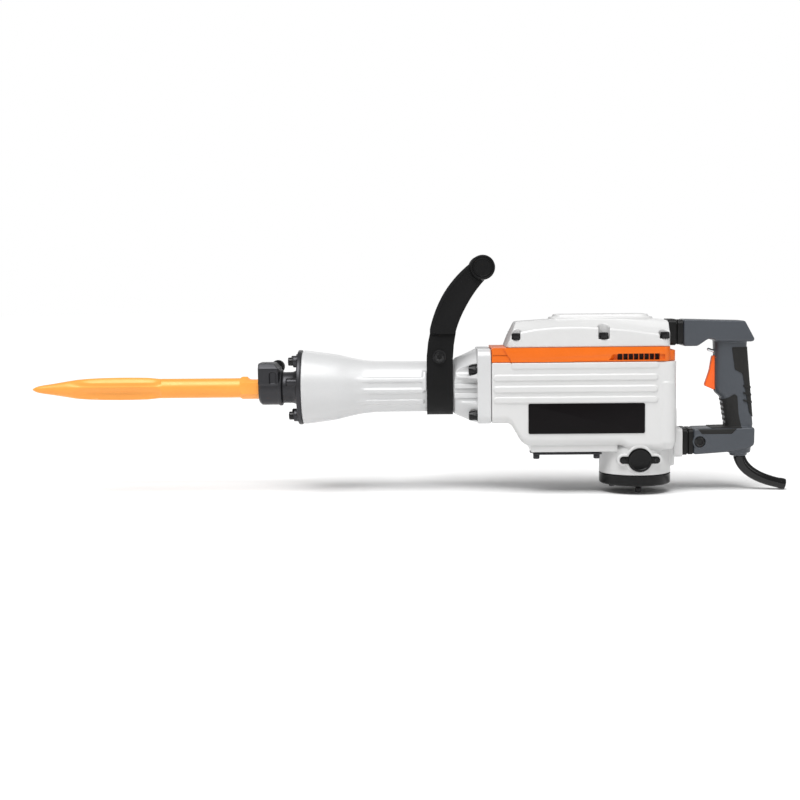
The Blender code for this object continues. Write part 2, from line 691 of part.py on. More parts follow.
def make_crank_cover():
    base = BAND_TOP + GAP
    side_view = rounded([(377.0, base, 0), (COVER_REAR, base, 0), (COVER_REAR, 98.5, 8),
                         (500.0, 102.0, 0), (393.0, 98.5, 12)], 1)
    front_view = rounded([(-HALF_WIDTH, base, 0), (HALF_WIDTH, base, 0), (HALF_WIDTH, 84.0, 10),
                          (42.0, 103.0, 12), (-42.0, 103.0, 12), (-HALF_WIDTH, 84.0, 10)], 1)
    cover = plate("XZ", [side_view], -60.0, 60.0)
    keep(cover, plate("YZ", [front_view], 360.0, 650.0))
    lid = rounded([(450.0, -31.0, 10), (597.0, -31.0, 10), (597.0, 31.0, 10),
                   (450.0, 31.0, 10)], 2)
    join(cover, bevel(plate("XY", [lid], 95.0, 108.9), 2.5))
    cut(cover, box((402.0, 603.0), (-41.0, 41.0), (50.0, 93.0)))
    cut(cover, cylinder("Z", 43.0, 50.0, 93.0, (CRANK_X, 0.0), 24))
    cut(cover, cylinder("Z", 8.3, 90.0, 98.0, (CRANK_X, 0.0), 16))
    cut(cover, cylinder("Z", 5.3, 90.0, 98.0, (IDLER_X, 0.0), 16))
    for side_y in (-COVER_SCREW_Y, COVER_SCREW_Y):
        for x in COVER_SCREW_X:
            cut(cover, cylinder("Z", 8.0, COVER_SCREW_SEAT, 120.0, (x, side_y), 10))
            cut(cover, cylinder("Z", 3.3, 50.0, 80.0, (x, side_y), 6))
    return finish(cover, "crank_cover", "light_grey_paint")


def make_cover_screws():
    number = 1
    for side_y in (-COVER_SCREW_Y, COVER_SCREW_Y):
        for x in COVER_SCREW_X:
            bolt = screw("Z", 6.7, (82.0, COVER_SCREW_SEAT + 0.3), 3.0, 22.0, (x, side_y), 3.4)
            finish(bolt, f"cover_screw_{number}", "black_screw")
            number += 1


def make_bottom_cover():
    outline = rounded([(417.0, -45.5, 6), (540.0, -45.5, 6), (540.0, 45.5, 6),
                       (417.0, 45.5, 6)], 2)
    cover = plate("XY", [outline], -102.6, -98.7)
    cut(cover, cylinder("Z", MOTOR_R + 1.0, -110.0, -90.0, (MOTOR_X, 0.0), 36))
    for side_y in (-BOTTOM_SCREW_Y, BOTTOM_SCREW_Y):
        for x in BOTTOM_SCREW_X:
            join(cover, cylinder("Z", 4.8, -109.2, -102.0, (x, side_y), 10))
            join(cover, cylinder("Z", 3.0, -99.0, -86.0, (x, side_y), 6))
    return finish(cover, "bottom_cover", "black_casting")


def make_tail_cover():
    profile = [(0.0, MOTOR_BOTTOM - 0.3), (MOTOR_R, MOTOR_BOTTOM - 0.3), (MOTOR_R, -148.8),
               (MOTOR_R - 2.0, -150.8), (0.0, -150.8)]
    cover = turned("Z", profile, (MOTOR_X, 0.0), 28)
    cut(cover, cylinder("Z", 13.3, -146.8, -130.0, (MOTOR_X, 0.0)))
    for degrees in (-90, 40, 140):
        angle = math.radians(degrees)
        at = (MOTOR_X + TAIL_SCREW_CIRCLE * math.cos(angle), TAIL_SCREW_CIRCLE * math.sin(angle))
        join(cover, cylinder("Z", 4.3, -160.3, -150.0, at, 8))
    return finish(cover, "tail_cover", "black_plastic")


def make_name_plates():
    outline = rounded([(409.0, -70.2, 3), (585.0, -70.2, 3), (585.0, -22.8, 3),
                       (409.0, -22.8, 3)], 1)
    for side, name in ((-1, "left"), (1, "right")):
        low, high = sorted(((HALF_WIDTH + GAP) * side, (HALF_WIDTH + 1.5) * side))
        finish(plate("XZ", [outline], low, high), f"name_plate_{name}", "black_plastic")


def make_handle_bracket():
    front = CASE_REAR + GAP
    outline = rounded([(front, -74.0, 0), (660.0, -74.0, 0), (676.0, -77.5, 5),
                       (681.5, -87.0, 5), (676.0, -96.5, 5), (660.0, -99.5, 0),
                       (front, -99.5, 0)], 1)
    bracket = plate("XZ", [outline], -8.0, 8.0)
    pad = rounded([(-25.0, -110.0, 5), (25.0, -110.0, 5), (25.0, -34.0, 5), (-25.0, -34.0, 5)])
    join(bracket, plate("YZ", [pad], front, 646.0))
    cut(bracket, cylinder("Y", 6.3, -10.0, 10.0, HANDLE_PIVOT, 16))
    for y in BRACKET_PIN_Y:
        join(bracket, cylinder("X", 4.0, 628.0, 640.0, (y, BRACKET_PIN_Z), 8))
    return finish(bracket, "handle_bracket", "light_grey_paint")


# ---------------------------------------------------------------- side handle

def make_handle_strap():
    outer = STRAP_R + STRAP_THICK
    outline = arc((0.0, 0.0), outer, math.pi, 2 * math.pi, 18)
    outline += [(outer, STRAP_TOP), (STRAP_R, STRAP_TOP)]
    outline += arc((0.0, 0.0), STRAP_R, 2 * math.pi, math.pi, 18)
    outline += [(-STRAP_R, STRAP_TOP), (-outer, STRAP_TOP)]
    low = STRAP_X - STRAP_WIDTH / 2
    strap = plate("YZ", [outline], low, low + STRAP_WIDTH)
    cut(strap, cylinder("Y", 5.3, -60.0, 60.0, (STRAP_X, CLAMP_Z), 16))
    return finish(strap, "handle_strap", "black_casting", SIDE_HANDLE_PIVOT)


def make_arm_sleeves():
    outline = arc(ARM_CENTRE, ARM_R + ARM_HALF, ARM_FROM, ARM_TO, 10)
    outline += arc(ARM_CENTRE, ARM_R - ARM_HALF, ARM_TO, ARM_FROM, 10)
    for side, name in ((-1, "left"), (1, "right")):
        low = ARM_Y * side - ARM_THICK / 2
        sleeve = bevel(plate("XZ", [outline], low, low + ARM_THICK), 2.0)
        floor = box((240.0, 320.0), (-60.0, 60.0), (60.0, STRAP_TOP + GAP))
        cut(sleeve, floor, cylinder("Y", GRIP_R + GAP, -60.0, 60.0, (GRIP_X, GRIP_Z), 32))
        finish(sleeve, f"arm_sleeve_{name}", "soft_rubber", SIDE_HANDLE_PIVOT)


def make_side_grip():
    half = [(0.0, GRIP_HALF), (15.5, GRIP_HALF), (GRIP_R, GRIP_HALF - 3.0), (GRIP_R, 30.0),
            (17.0, 28.0)]
    profile = half + [(radius, -height) for radius, height in reversed(half)]
    grip = turned("Y", profile, (GRIP_X, GRIP_Z))
    return finish(grip, "side_grip", "soft_rubber", SIDE_HANDLE_PIVOT)


def make_clamp():
    at = (STRAP_X, CLAMP_Z)
    face = STRAP_R + STRAP_THICK + GAP
    bolt = screw("Y", 7.5, (-face - 8.5, -face), 5.0, face + 11.0, at, 4.0)
    join(bolt, cylinder("Y", 10.0, -face - 1.8, -face, at, 24))
    finish(bolt, "clamp_bolt", "black_screw", SIDE_HANDLE_PIVOT)
    nut = cylinder("Y", 9.8, face, face + 8.0, at, 6)
    cut(nut, cylinder("Y", 5.3, face - 5.0, face + 12.0, at, 16))
    finish(nut, "clamp_nut", "black_screw", SIDE_HANDLE_PIVOT)


# ---------------------------------------------------------------- rear handle

HANDLE_OUTLINE = [
    (646.8, 99.5, 4), (740.0, 96.5, 8), (754.5, 68.0, 8), (746.5, 56.0, 6), (750.6, 0.0, 60),
    (755.5, -64.0, 6), (755.5, -94.0, 8), (712.0, -104.0, 6), (662.5, -107.0, 4),
    (662.5, -66.5, 4), (711.5, -65.5, 4), (710.5, -50.0, 20), (707.5, -24.0, 8),
    (695.5, -11.5, 2), (697.5, -7.0, 4), (696.5, 52.0, 10), (688.0, 70.0, 5), (681.0, 67.5, 6),
    (669.0, 58.6, 5), (646.8, 58.6, 3)]


def handle_body():
    """The rear handle as one solid, before it is split into its two shells."""
    body = bevel(plate("XZ", [rounded(HANDLE_OUTLINE, 1)], -GRIP_HALF_WIDTH, GRIP_HALF_WIDTH),
                 6.0, 1, 50)
    upper = rounded([(646.8, 99.5, 4), (740.0, 96.5, 8), (752.5, 70.5, 6), (737.0, 62.0, 10),
                     (688.0, 70.0, 5), (681.0, 67.5, 6), (669.0, 58.6, 5), (646.8, 58.6, 3)], 1)
    lower = rounded([(662.5, -66.5, 4), (745.0, -66.5, 10), (755.5, -74.0, 6),
                     (755.5, -94.0, 8), (712.0, -104.0, 6), (662.5, -107.0, 4)], 1)
    for outline in (upper, lower):
        arm = plate("XZ", [outline], -ARM_HALF_WIDTH, ARM_HALF_WIDTH)
        join(body, bevel(arm, 5.0, 1, 50))
    collar = cylinder("Z", 18.0, -106.5, -95.0, (733.0, 0.0), 24)
    neck = cylinder("Z", 13.0, -110.5, -100.0, (737.0, 0.0), 24)
    join(body, collar, neck)
    return body


def handle_cavities():
    """What is cut out of the shells: switch space, trigger slot, pins, pivot and cord way."""
    start = Vector((LOCK_PIN_FROM[0], 0.0, LOCK_PIN_FROM[1]))
    end = Vector((LOCK_PIN_TO[0], 0.0, LOCK_PIN_TO[1]))
    slope = (end - start).normalized()
    pin_way = pipe([(start.x, start.z), (end.x + 6.5 * slope.x, end.z + 6.5 * slope.z)],
                   (2.9, 2.9), 3)
    return [
        box((713.0, 736.0), (-11.0, 11.0), (-2.0, 42.0)),
        box((685.0, 714.0), (-7.0, 7.0), (-10.3, 44.8)),
        cylinder("Y", 3.3, -10.3, 10.3, TRIGGER_PIVOT, 10),
        pin_way,
        box((655.0, 688.0), (-9.0, 9.0), (-101.5, -73.0)),
        cylinder("Y", 6.3, -30.0, 30.0, HANDLE_PIVOT, 16),
        cylinder("Y", 9.3, -30.0, -18.7, HANDLE_PIVOT, 16),
        cylinder("Y", 9.3, 18.7, 30.0, HANDLE_PIVOT, 16),
        box((724.0, 733.0), (-5.0, 5.0), (-100.0, 5.0)),
        cylinder("Z", 5.0, -120.0, -92.0, (737.0, 0.0), 14),
    ]


def make_handle_shells():
    for name, side in (("left", -1), ("right", 1)):
        shell = handle_body()
        half = sorted((0.15 * side, 60.0 * side))
        cut(shell, *handle_cavities())
        keep(shell, box((640.0, 770.0), half, (-130.0, 120.0)))
        finish(shell, f"handle_shell_{name}", "slate_plastic", HANDLE_EMPTY)


def wrapped_pad(outline, core, name):
    """A soft pad that lies on both shells and wraps round one edge of the grip."""
    half = GRIP_HALF_WIDTH + 1.8
    pad = bevel(plate("XZ", [rounded(outline, 1)], -half, half), 2.0, 1, 50)
    inside = GRIP_HALF_WIDTH + GAP
    cut(pad, plate("XZ", [rounded(core, 1)], -inside, inside))
    return finish(pad, name, "soft_rubber", HANDLE_EMPTY)


def make_grip_pads():
    rear = [(722.0, 53.0, 6), (750.0, 51.0, 3), (753.6, 0.0, 0), (758.0, -48.0, 3),
            (748.5, -41.0, 4), (738.0, 12.0, 8)]
    rear_core = [(700.0, 56.0, 0), (746.5 + GAP, 56.0, 0), (750.6 + GAP, 0.0, 60),
                 (755.5 + GAP, -64.0, 0), (700.0, -64.0, 0)]
    wrapped_pad(rear, rear_core, "rear_grip_pad")
    front = [(704.0, -25.5, 2), (716.0, -21.0, 4), (726.0, -16.0, 4), (730.0, -19.0, 3),
             (733.0, -58.0, 6), (722.0, -62.0, 3), (708.0, -61.0, 2), (706.5, -45.0, 8)]
    front_core = [(745.0, -65.5, 0), (711.5 - GAP, -65.5, 0), (710.5 - GAP, -50.0, 20),
                  (707.5 - GAP, -24.0, 8), (695.5 - GAP, -11.5, 0), (745.0, -11.5, 0)]
    wrapped_pad(front, front_core, "front_grip_pad")


def make_switch_body():
    body = bevel(box((713.4, 735.4), (-10.5, 10.5), (-1.0, 41.0)), 1.0, 1)
    return finish(body, "switch_body", "black_plastic", HANDLE_EMPTY)


def make_pivot_bolt():
    bolt = cylinder("Y", 6.0, -22.0, 22.0, HANDLE_PIVOT, 16)
    for inner, outer in ((19.0, 22.5), (-22.5, -19.0)):
        join(bolt, cylinder("Y", 9.0, inner, outer, HANDLE_PIVOT, 16))
    for inner, outer in ((20.5, 25.0), (-25.0, -20.5)):
        cut(bolt, cylinder("Y", 4.5, inner, outer, HANDLE_PIVOT, 6))
    return finish(bolt, "pivot_bolt", "black_screw", HANDLE_EMPTY)


def make_cord_guard():
    start = (737.0, -113.5)
    middle = (744.0, -144.0)
    end = (807.0, -155.8)
    count = 12
    route = []
    for i in range(count + 1):
        t = i / count
        route.append(tuple(a * (1 - t) ** 2 + 2 * b * t * (1 - t) + c * t * t
                           for a, b, c in zip(start, middle, end)))
    radii = [9.2 - 1.7 * i / count for i in range(count)] + [8.3]
    guard = pipe(route, radii, 3)
    first = Vector(route[0]) - Vector(route[1])
    last = Vector(route[-1]) - Vector(route[-2])
    bore = [tuple(Vector(route[0]) + first * 0.3)] + route[1:-1]
    bore.append(tuple(Vector(route[-1]) + last * 0.3))
    cut(guard, pipe(bore, [4.8] * len(bore), 2))
    return finish(guard, "cord_guard", "soft_rubber", HANDLE_EMPTY)


def make_trigger():
    outline = rounded([(693.0, 42.5, 2), (704.5, 43.5, 3), (705.5, 20.0, 0), (703.5, -5.0, 2),
                       (696.5, -8.8, 2), (682.0, -2.5, 2.5), (687.5, 14.0, 30)])
    trigger = bevel(plate("XZ", [outline], -6.5, 6.5), 1.5, 1, 50)
    join(trigger, cylinder("Y", 3.0, -10.0, 10.0, TRIGGER_PIVOT, 10))
    return finish(trigger, "trigger", "orange_paint", TRIGGER_EMPTY)


def make_lock_pin():
    start = Vector(LOCK_PIN_FROM)
    end = Vector(LOCK_PIN_TO)
    slope = (end - start).normalized()
    points = [start, start + slope * 0.8, start + slope * 2.4, end]
    pin = pipe([tuple(p) for p in points], (1.2, 2.1, 2.5, 2.5), 3)
    return finish(pin, "lock_pin", "bright_steel", LOCK_PIN_EMPTY)


def make_bellows(name, low, high, bottom, top, half_width, ridges):
    """A rubber boot with a rectangular section and a few soft ridges, open through its middle."""
    pitch = (high - low) / ridges
    boot = None
    for number in range(ridges):
        start = low + pitch * number
        outline = rounded([(-half_width, bottom, 7), (half_width, bottom, 7),
                           (half_width, top, 7), (-half_width, top, 7)], 1)
        fold = plate("YZ", [outline], start + 1.2, start + pitch - 1.2)
        boot = fold if boot is None else join(boot, fold)
    core = rounded([(-half_width + 3, bottom + 3, 6), (half_width - 3, bottom + 3, 6),
                    (half_width - 3, top - 3, 6), (-half_width + 3, top - 3, 6)], 1)
    way = [(y * 0.55, (z - (bottom + top) / 2) * 0.85 + (bottom + top) / 2) for y, z in core]
    join(boot, plate("YZ", [core], low, high))
    cut(boot, plate("YZ", [way], low - 5, high + 5))
    return finish(boot, name, "soft_rubber")


# ---------------------------------------------------------------- assembly

clear_scene()
PARTS = new_collection("electric_jackhammer")
CUTTERS = new_collection("cutters")
HAMMER = new_empty("hammer", -MIDDLE_X, 0.0, -FLOOR_Z, None)

CHISEL_PIVOT = new_empty("chisel_slide", 0.0, 0.0, 0.0, HAMMER)
RETAINER_PIVOT = new_empty("retainer_turn", RETAINER_X, 0.0, RETAINER_Z, HAMMER)
BOLT_PIVOT = new_empty("impact_bolt_slide", 84.0, 0.0, 0.0, HAMMER)
STRIKER_PIVOT = new_empty("striker_slide", 235.0, 0.0, 0.0, HAMMER)
PISTON_PIVOT = new_empty("piston_slide", 315.0, 0.0, 0.0, HAMMER)
CRANK_PIVOT = new_empty("crank_spin", CRANK_X, 0.0, 0.0, HAMMER)
ROD_PIVOT = new_empty("rod_turn", CRANK_X - CRANK_THROW, 0.0, 0.0, HAMMER)
IDLER_PIVOT = new_empty("idler_spin", IDLER_X, 0.0, 0.0, HAMMER)
MOTOR_PIVOT = new_empty("armature_spin", MOTOR_X, 0.0, 0.0, HAMMER)
BRUSH_PIVOTS = {
    "left": new_empty("brush_slide_left", MOTOR_X, -18.4, BRUSH_Z, HAMMER),
    "right": new_empty("brush_slide_right", MOTOR_X, 18.4, BRUSH_Z, HAMMER),
}
SIDE_HANDLE_PIVOT = new_empty("side_handle_turn", STRAP_X, 0.0, 0.0, HAMMER)
HANDLE_EMPTY = new_empty("rear_handle_pivot", HANDLE_PIVOT[0], 0.0, HANDLE_PIVOT[1], HAMMER)
TRIGGER_EMPTY = new_empty("trigger_pull", TRIGGER_PIVOT[0], 0.0, TRIGGER_PIVOT[1], HAMMER)
LOCK_PIN_EMPTY = new_empty("lock_pin_slide", LOCK_PIN_FROM[0], 0.0, LOCK_PIN_FROM[1], HAMMER)

make_chisel()
make_front_cap()
make_retainer()
make_front_bolts()
make_cylinder_case()
make_case_bolts()
make_cylinder_liner()
make_impact_bolt()
make_striker()
make_piston()
make_connecting_rod()
make_crankshaft()
make_idler_gear()
make_armature()
make_cooling_fan()
make_stator()
make_motor_bearings()
make_brushes()
make_brush_caps()
make_crank_case()
make_cover_band()
make_crank_cover()
make_cover_screws()
make_bottom_cover()
make_tail_cover()
make_name_plates()
make_handle_bracket()
make_handle_strap()
make_arm_sleeves()
make_side_grip()
make_clamp()
make_handle_shells()
make_grip_pads()
make_switch_body()
make_pivot_bolt()
make_cord_guard()
make_trigger()
make_lock_pin()
make_bellows("upper_bellows", COVER_REAR + 0.4, 646.2, 60.8, 98.5, 23.0, 3)
make_bellows("lower_bellows", 647.6, 662.2, -107.0, -67.0, 24.0, 2)
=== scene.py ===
"""Looks of the electric jackhammer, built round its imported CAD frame.

Shapes are given in millimetres in the hammer's own frame (x along the tool axis from the nose
face, z up from the tool axis, -y the left side) and turned into metres of the row frame.
"""
import json
import math

import bmesh
import bpy
import numpy as np
from mathutils import Matrix, Vector

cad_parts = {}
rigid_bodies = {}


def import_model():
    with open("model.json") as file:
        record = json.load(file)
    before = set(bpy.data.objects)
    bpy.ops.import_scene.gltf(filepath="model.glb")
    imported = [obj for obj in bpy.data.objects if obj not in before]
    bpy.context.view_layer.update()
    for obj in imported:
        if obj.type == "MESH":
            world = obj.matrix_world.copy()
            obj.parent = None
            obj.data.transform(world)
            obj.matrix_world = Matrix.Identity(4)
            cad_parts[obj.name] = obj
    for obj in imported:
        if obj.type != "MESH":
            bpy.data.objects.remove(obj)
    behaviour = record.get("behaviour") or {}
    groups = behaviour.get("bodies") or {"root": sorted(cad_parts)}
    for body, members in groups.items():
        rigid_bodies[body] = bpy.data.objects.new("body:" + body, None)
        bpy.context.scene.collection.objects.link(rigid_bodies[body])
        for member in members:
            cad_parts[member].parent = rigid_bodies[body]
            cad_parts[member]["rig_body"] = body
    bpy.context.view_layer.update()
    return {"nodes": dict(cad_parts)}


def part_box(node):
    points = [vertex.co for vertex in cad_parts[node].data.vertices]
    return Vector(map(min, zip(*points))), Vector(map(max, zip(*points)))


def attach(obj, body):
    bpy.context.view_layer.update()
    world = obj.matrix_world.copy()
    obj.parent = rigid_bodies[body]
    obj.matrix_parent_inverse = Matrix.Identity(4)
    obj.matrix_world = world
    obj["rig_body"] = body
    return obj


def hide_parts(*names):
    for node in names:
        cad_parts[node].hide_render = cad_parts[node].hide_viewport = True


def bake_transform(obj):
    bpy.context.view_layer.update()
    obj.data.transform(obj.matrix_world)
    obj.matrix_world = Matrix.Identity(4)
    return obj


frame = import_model()

MM = 0.001
TIP_X = -352.0
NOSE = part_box("chisel")[0].x / MM - TIP_X
SIDES = ((-1, "left"), (1, "right"))
AXIS = (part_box("striker")[0].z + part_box("striker")[1].z) / 2 / MM
BODY_OF = {node: obj["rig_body"] for node, obj in frame["nodes"].items()}


def row(x, y, z):
    """A point of the hammer's frame, in metres of the row frame."""
    return Vector((x + NOSE, y, z + AXIS)) * MM


# ---------------------------------------------------------------- shapes

def placed_object(name, data):
    """A new object of the scene that shows this mesh, light or camera."""
    made = bpy.data.objects.new(name, data)
    bpy.context.scene.collection.objects.link(made)
    return made


def from_mesh(verts, faces):
    mesh = bpy.data.meshes.new("shape")
    mesh.from_pydata([row(*v) for v in verts], [], faces)
    bm = bmesh.new()
    bm.from_mesh(mesh)
    bmesh.ops.recalc_face_normals(bm, faces=bm.faces)
    bm.to_mesh(mesh)
    bm.free()
    return placed_object("shape", mesh)


def placed(axis, u, v, height, at):
    if axis == "X":
        return (height, at[0] + u, at[1] + v)
    if axis == "Y":
        return (at[0] + u, height, at[1] + v)
    return (at[0] + u, at[1] + v, height)


def lathe(axis, profile, at=(0.0, 0.0), steps=72, ring=False, knurl=0.0, knurl_r=1e9):
    """A turned solid through (radius, height) points; knurl makes fine ridges beyond knurl_r."""
    verts, rings = [], []
    for radius, height in profile:
        if radius < 1e-6:
            rings.append([len(verts)])
            verts.append(placed(axis, 0.0, 0.0, height, at))
            continue
        loop = []
        for i in range(steps):
            angle = 2 * math.pi * (i + 0.5) / steps
            r = radius - (knurl if i % 2 and radius > knurl_r else 0.0)
            loop.append(len(verts))
            verts.append(placed(axis, r * math.cos(angle), r * math.sin(angle), height, at))
        rings.append(loop)
    faces = []
    pairs = list(zip(rings, rings[1:]))
    if ring:
        pairs.append((rings[-1], rings[0]))
    for low, high in pairs:
        for i in range(max(len(low), len(high))):
            j = (i + 1) % max(len(low), len(high))
            if len(low) == 1:
                faces.append((low[0], high[i], high[j]))
            elif len(high) == 1:
                faces.append((low[i], low[j], high[0]))
            else:
                faces.append((low[i], low[j], high[j], high[i]))
    return from_mesh(verts, faces)


def rod(axis, radius, low, high, at=(0.0, 0.0), steps=64, edge=0.0):
    if edge:
        profile = [(0.0, low), (radius - edge, low), (radius - edge * 0.3, low + edge * 0.3),
                   (radius, low + edge), (radius, high - edge),
                   (radius - edge * 0.3, high - edge * 0.3), (radius - edge, high), (0.0, high)]
    else:
        profile = [(0.0, low), (radius, low), (radius, high), (0.0, high)]
    return lathe(axis, profile, at, steps)


def skin(loops):
    """A closed solid through rings of the same number of points."""
    verts = [tuple(p) for loop in loops for p in loop]
    count = len(loops[0])
    faces = [tuple(range(count)), tuple(range(len(verts) - count, len(verts)))]
    for level in range(len(loops) - 1):
        for i in range(count):
            j = (i + 1) % count
            a = level * count
            faces.append((a + i, a + j, a + count + j, a + count + i))
    return from_mesh(verts, faces)


def prism(plane, outline, low, high):
    def point(u, v, w):
        return {"XZ": (u, w, v), "YZ": (w, u, v), "XY": (u, v, w)}[plane]
    return skin([[point(u, v, w) for u, v in outline] for w in (low, high)])


def slab(outline, side, inner, outer):
    """A prism through an outline of the (x, z) plane, between two distances on one side."""
    return prism("XZ", outline, *span(side, inner, outer))


def box(x, y, z):
    corners = [(x[0], z[0]), (x[1], z[0]), (x[1], z[1]), (x[0], z[1])]
    return prism("XZ", corners, y[0], y[1])


def rounded(corners, steps=6):
    """Outline through (u, v, corner radius) points, each corner replaced by an arc."""
    outline = []
    count = len(corners)
    for i, (u, v, radius) in enumerate(corners):
        here = Vector((u, v))
        if radius == 0:
            outline.append((u, v))
            continue
        before = (Vector(corners[i - 1][:2]) - here).normalized()
        after = (Vector(corners[(i + 1) % count][:2]) - here).normalized()
        half = before.angle(after) / 2
        centre = here + (before + after).normalized() * radius / math.sin(half)
        first = here + before * radius / math.tan(half) - centre
        last = here + after * radius / math.tan(half) - centre
        for step in range(steps + 1):
            spoke = first.lerp(last, step / steps).normalized() * radius
            outline.append((centre.x + spoke.x, centre.y + spoke.y))
    return outline


def rect(u, v, radii, steps=6):
    """Outline of a rectangle over two ranges, with one radius or four for its corners."""
    a, b, c, d = radii if isinstance(radii, tuple) else (radii,) * 4
    return rounded([(u[0], v[0], a), (u[1], v[0], b), (u[1], v[1], c), (u[0], v[1], d)], steps)


def hexagon(corner):
    """Outline of a hexagon with flats at the sides."""
    return [(corner * math.sin(math.radians(60 * k)), corner * math.cos(math.radians(60 * k)))
            for k in range(6)]


def span(side, inner, outer):
    """The y range between two distances from the middle plane, on one side of it."""
    return sorted((inner * side, outer * side))


def arc(centre, radius, start, end, steps):
    angles = [start + (end - start) * i / steps for i in range(steps + 1)]
    return [(centre[0] + radius * math.cos(a), centre[1] + radius * math.sin(a)) for a in angles]


def read(table, at):
    """The value at one place of a table of (place, value) points, joined by straight lines."""
    return float(np.interp(at, *zip(*table)))


def smooth_profile(stations, step=2.5, spread=2):
    """(radius, height) points read from (height, radius) stations and eased into a curve."""
    heights, radii = zip(*stations)
    count = max(4, int(round((heights[-1] - heights[0]) / step)))
    at = np.linspace(heights[0], heights[-1], count + 1)
    values = np.interp(at, heights, radii)
    for _ in range(spread):
        values[1:-1] = (values[:-2] + 2 * values[1:-1] + values[2:]) / 4
    return [(float(r), float(h)) for r, h in zip(values, at)]


def tube(points, radii, steps=32):
    """A round tube through points of the middle plane, (x, z), with a radius at each."""
    loops = []
    for i, ((x, z), radius) in enumerate(zip(points, radii)):
        before = Vector(points[max(i - 1, 0)])
        after = Vector(points[min(i + 1, len(points) - 1)])
        along = (after - before).normalized()
        normal = Vector((-along.y, along.x))
        loop = []
        for k in range(steps):
            angle = 2 * math.pi * k / steps
            across = radius * math.cos(angle)
            loop.append((x + normal.x * across, radius * math.sin(angle), z + normal.y * across))
        loops.append(loop)
    return skin(loops)


# ---------------------------------------------------------------- working on shapes

def bake(shape):
    graph = bpy.context.evaluated_depsgraph_get()
    mesh = bpy.data.meshes.new_from_object(shape.evaluated_get(graph))
    shape.modifiers.clear()
    old = shape.data
    shape.data = mesh
    bpy.data.meshes.remove(old)
    return shape


def boolean(shape, others, operation):
    for other in others:
        modifier = shape.modifiers.new("boolean", 'BOOLEAN')
        modifier.operation = operation
        modifier.solver = 'EXACT'
        modifier.object = other
    bake(shape)
    for other in others:
        bpy.data.objects.remove(other, do_unlink=True)
    return shape


def join(shape, *others):
    return boolean(shape, others, 'UNION')


def cut(shape, *others):
    return boolean(shape, others, 'DIFFERENCE')


def keep(shape, *others):
    return boolean(shape, others, 'INTERSECT')


def bevel(shape, width, segments=3, angle=30):
    modifier = shape.modifiers.new("bevel", 'BEVEL')
    modifier.width = width * MM
    modifier.segments = segments
    modifier.limit_method = 'ANGLE'
    modifier.angle_limit = math.radians(angle)
    return bake(shape)


def cast(shape, voxel=1.0, passes=4, share=0.3):
    """Turns a rough union into one skin with the soft edges and fillets of a casting."""
    remesh = shape.modifiers.new("remesh", 'REMESH')
    remesh.mode = 'VOXEL'
    remesh.voxel_size = voxel * MM
    smooth = shape.modifiers.new("smooth", 'SMOOTH')
    smooth.factor = 0.5
    smooth.iterations = passes
    if share < 1:
        reduce = shape.modifiers.new("reduce", 'DECIMATE')
        reduce.ratio = share
    return bake(shape)


def merge(*shapes):
    """Lays closed shapes together in one mesh, for cast() to turn into one skin."""
    bm = bmesh.new()
    for shape in shapes:
        bm.from_mesh(shape.data)
    bm.to_mesh(shapes[0].data)
    bm.free()
    for shape in shapes[1:]:
        bpy.data.objects.remove(shape, do_unlink=True)
    return shapes[0]


def copy_of(shape):
    return placed_object(shape.name, shape.data.copy())


def piece(shape, name, look, *nodes, body=None, slot=None, sharp=40, rides=True):
    """Names a finished shape, gives it its material and hangs it on its body."""
    shape.name = name
    shape.data.name = name
    shape.data.materials.clear()
    shape.data.materials.append(LOOKS[look]())
    shape.data.shade_smooth()
    shape.data.set_sharp_from_angle(angle=math.radians(sharp))
    if rides:
        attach(shape, body or BODY_OF[nodes[0]])
    if nodes:
        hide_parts(*nodes)
    return shape


# ---------------------------------------------------------------- materials

def node(tree, kind, inputs=None, **settings):
    made = tree.nodes.new(kind)
    for key, value in settings.items():
        setattr(made, key, value)
    for key, value in (inputs or {}).items():
        if isinstance(value, bpy.types.NodeSocket):
            tree.links.new(value, made.inputs[key])
        else:
            made.inputs[key].default_value = value
    return made


def noise(tree, where, scale, detail=3.0):
    return node(tree, "ShaderNodeTexNoise", {"Vector": where, "Scale": scale, "Detail": detail,
                                             "Roughness": 0.55}).outputs["Fac"]


def ranged(tree, value, low, high, start=0.3, end=0.7):
    return node(tree, "ShaderNodeMapRange",
                {"Value": value, "From Min": start, "From Max": end, "To Min": low,
                 "To Max": high}).outputs["Result"]


def mixed(tree, share, first, second):
    made = node(tree, "ShaderNodeMix", data_type='RGBA')
    for key, value in (("Factor", share), ("A", first), ("B", second)):
        socket = [s for s in made.inputs if s.name == key and
                  s.type == ('VALUE' if key == "Factor" else 'RGBA')][0]
        if isinstance(value, bpy.types.NodeSocket):
            tree.links.new(value, socket)
        elif key == "Factor":
            socket.default_value = value
        else:
            socket.default_value = (*value, 1.0)
    return [s for s in made.outputs if s.type == 'RGBA'][0]


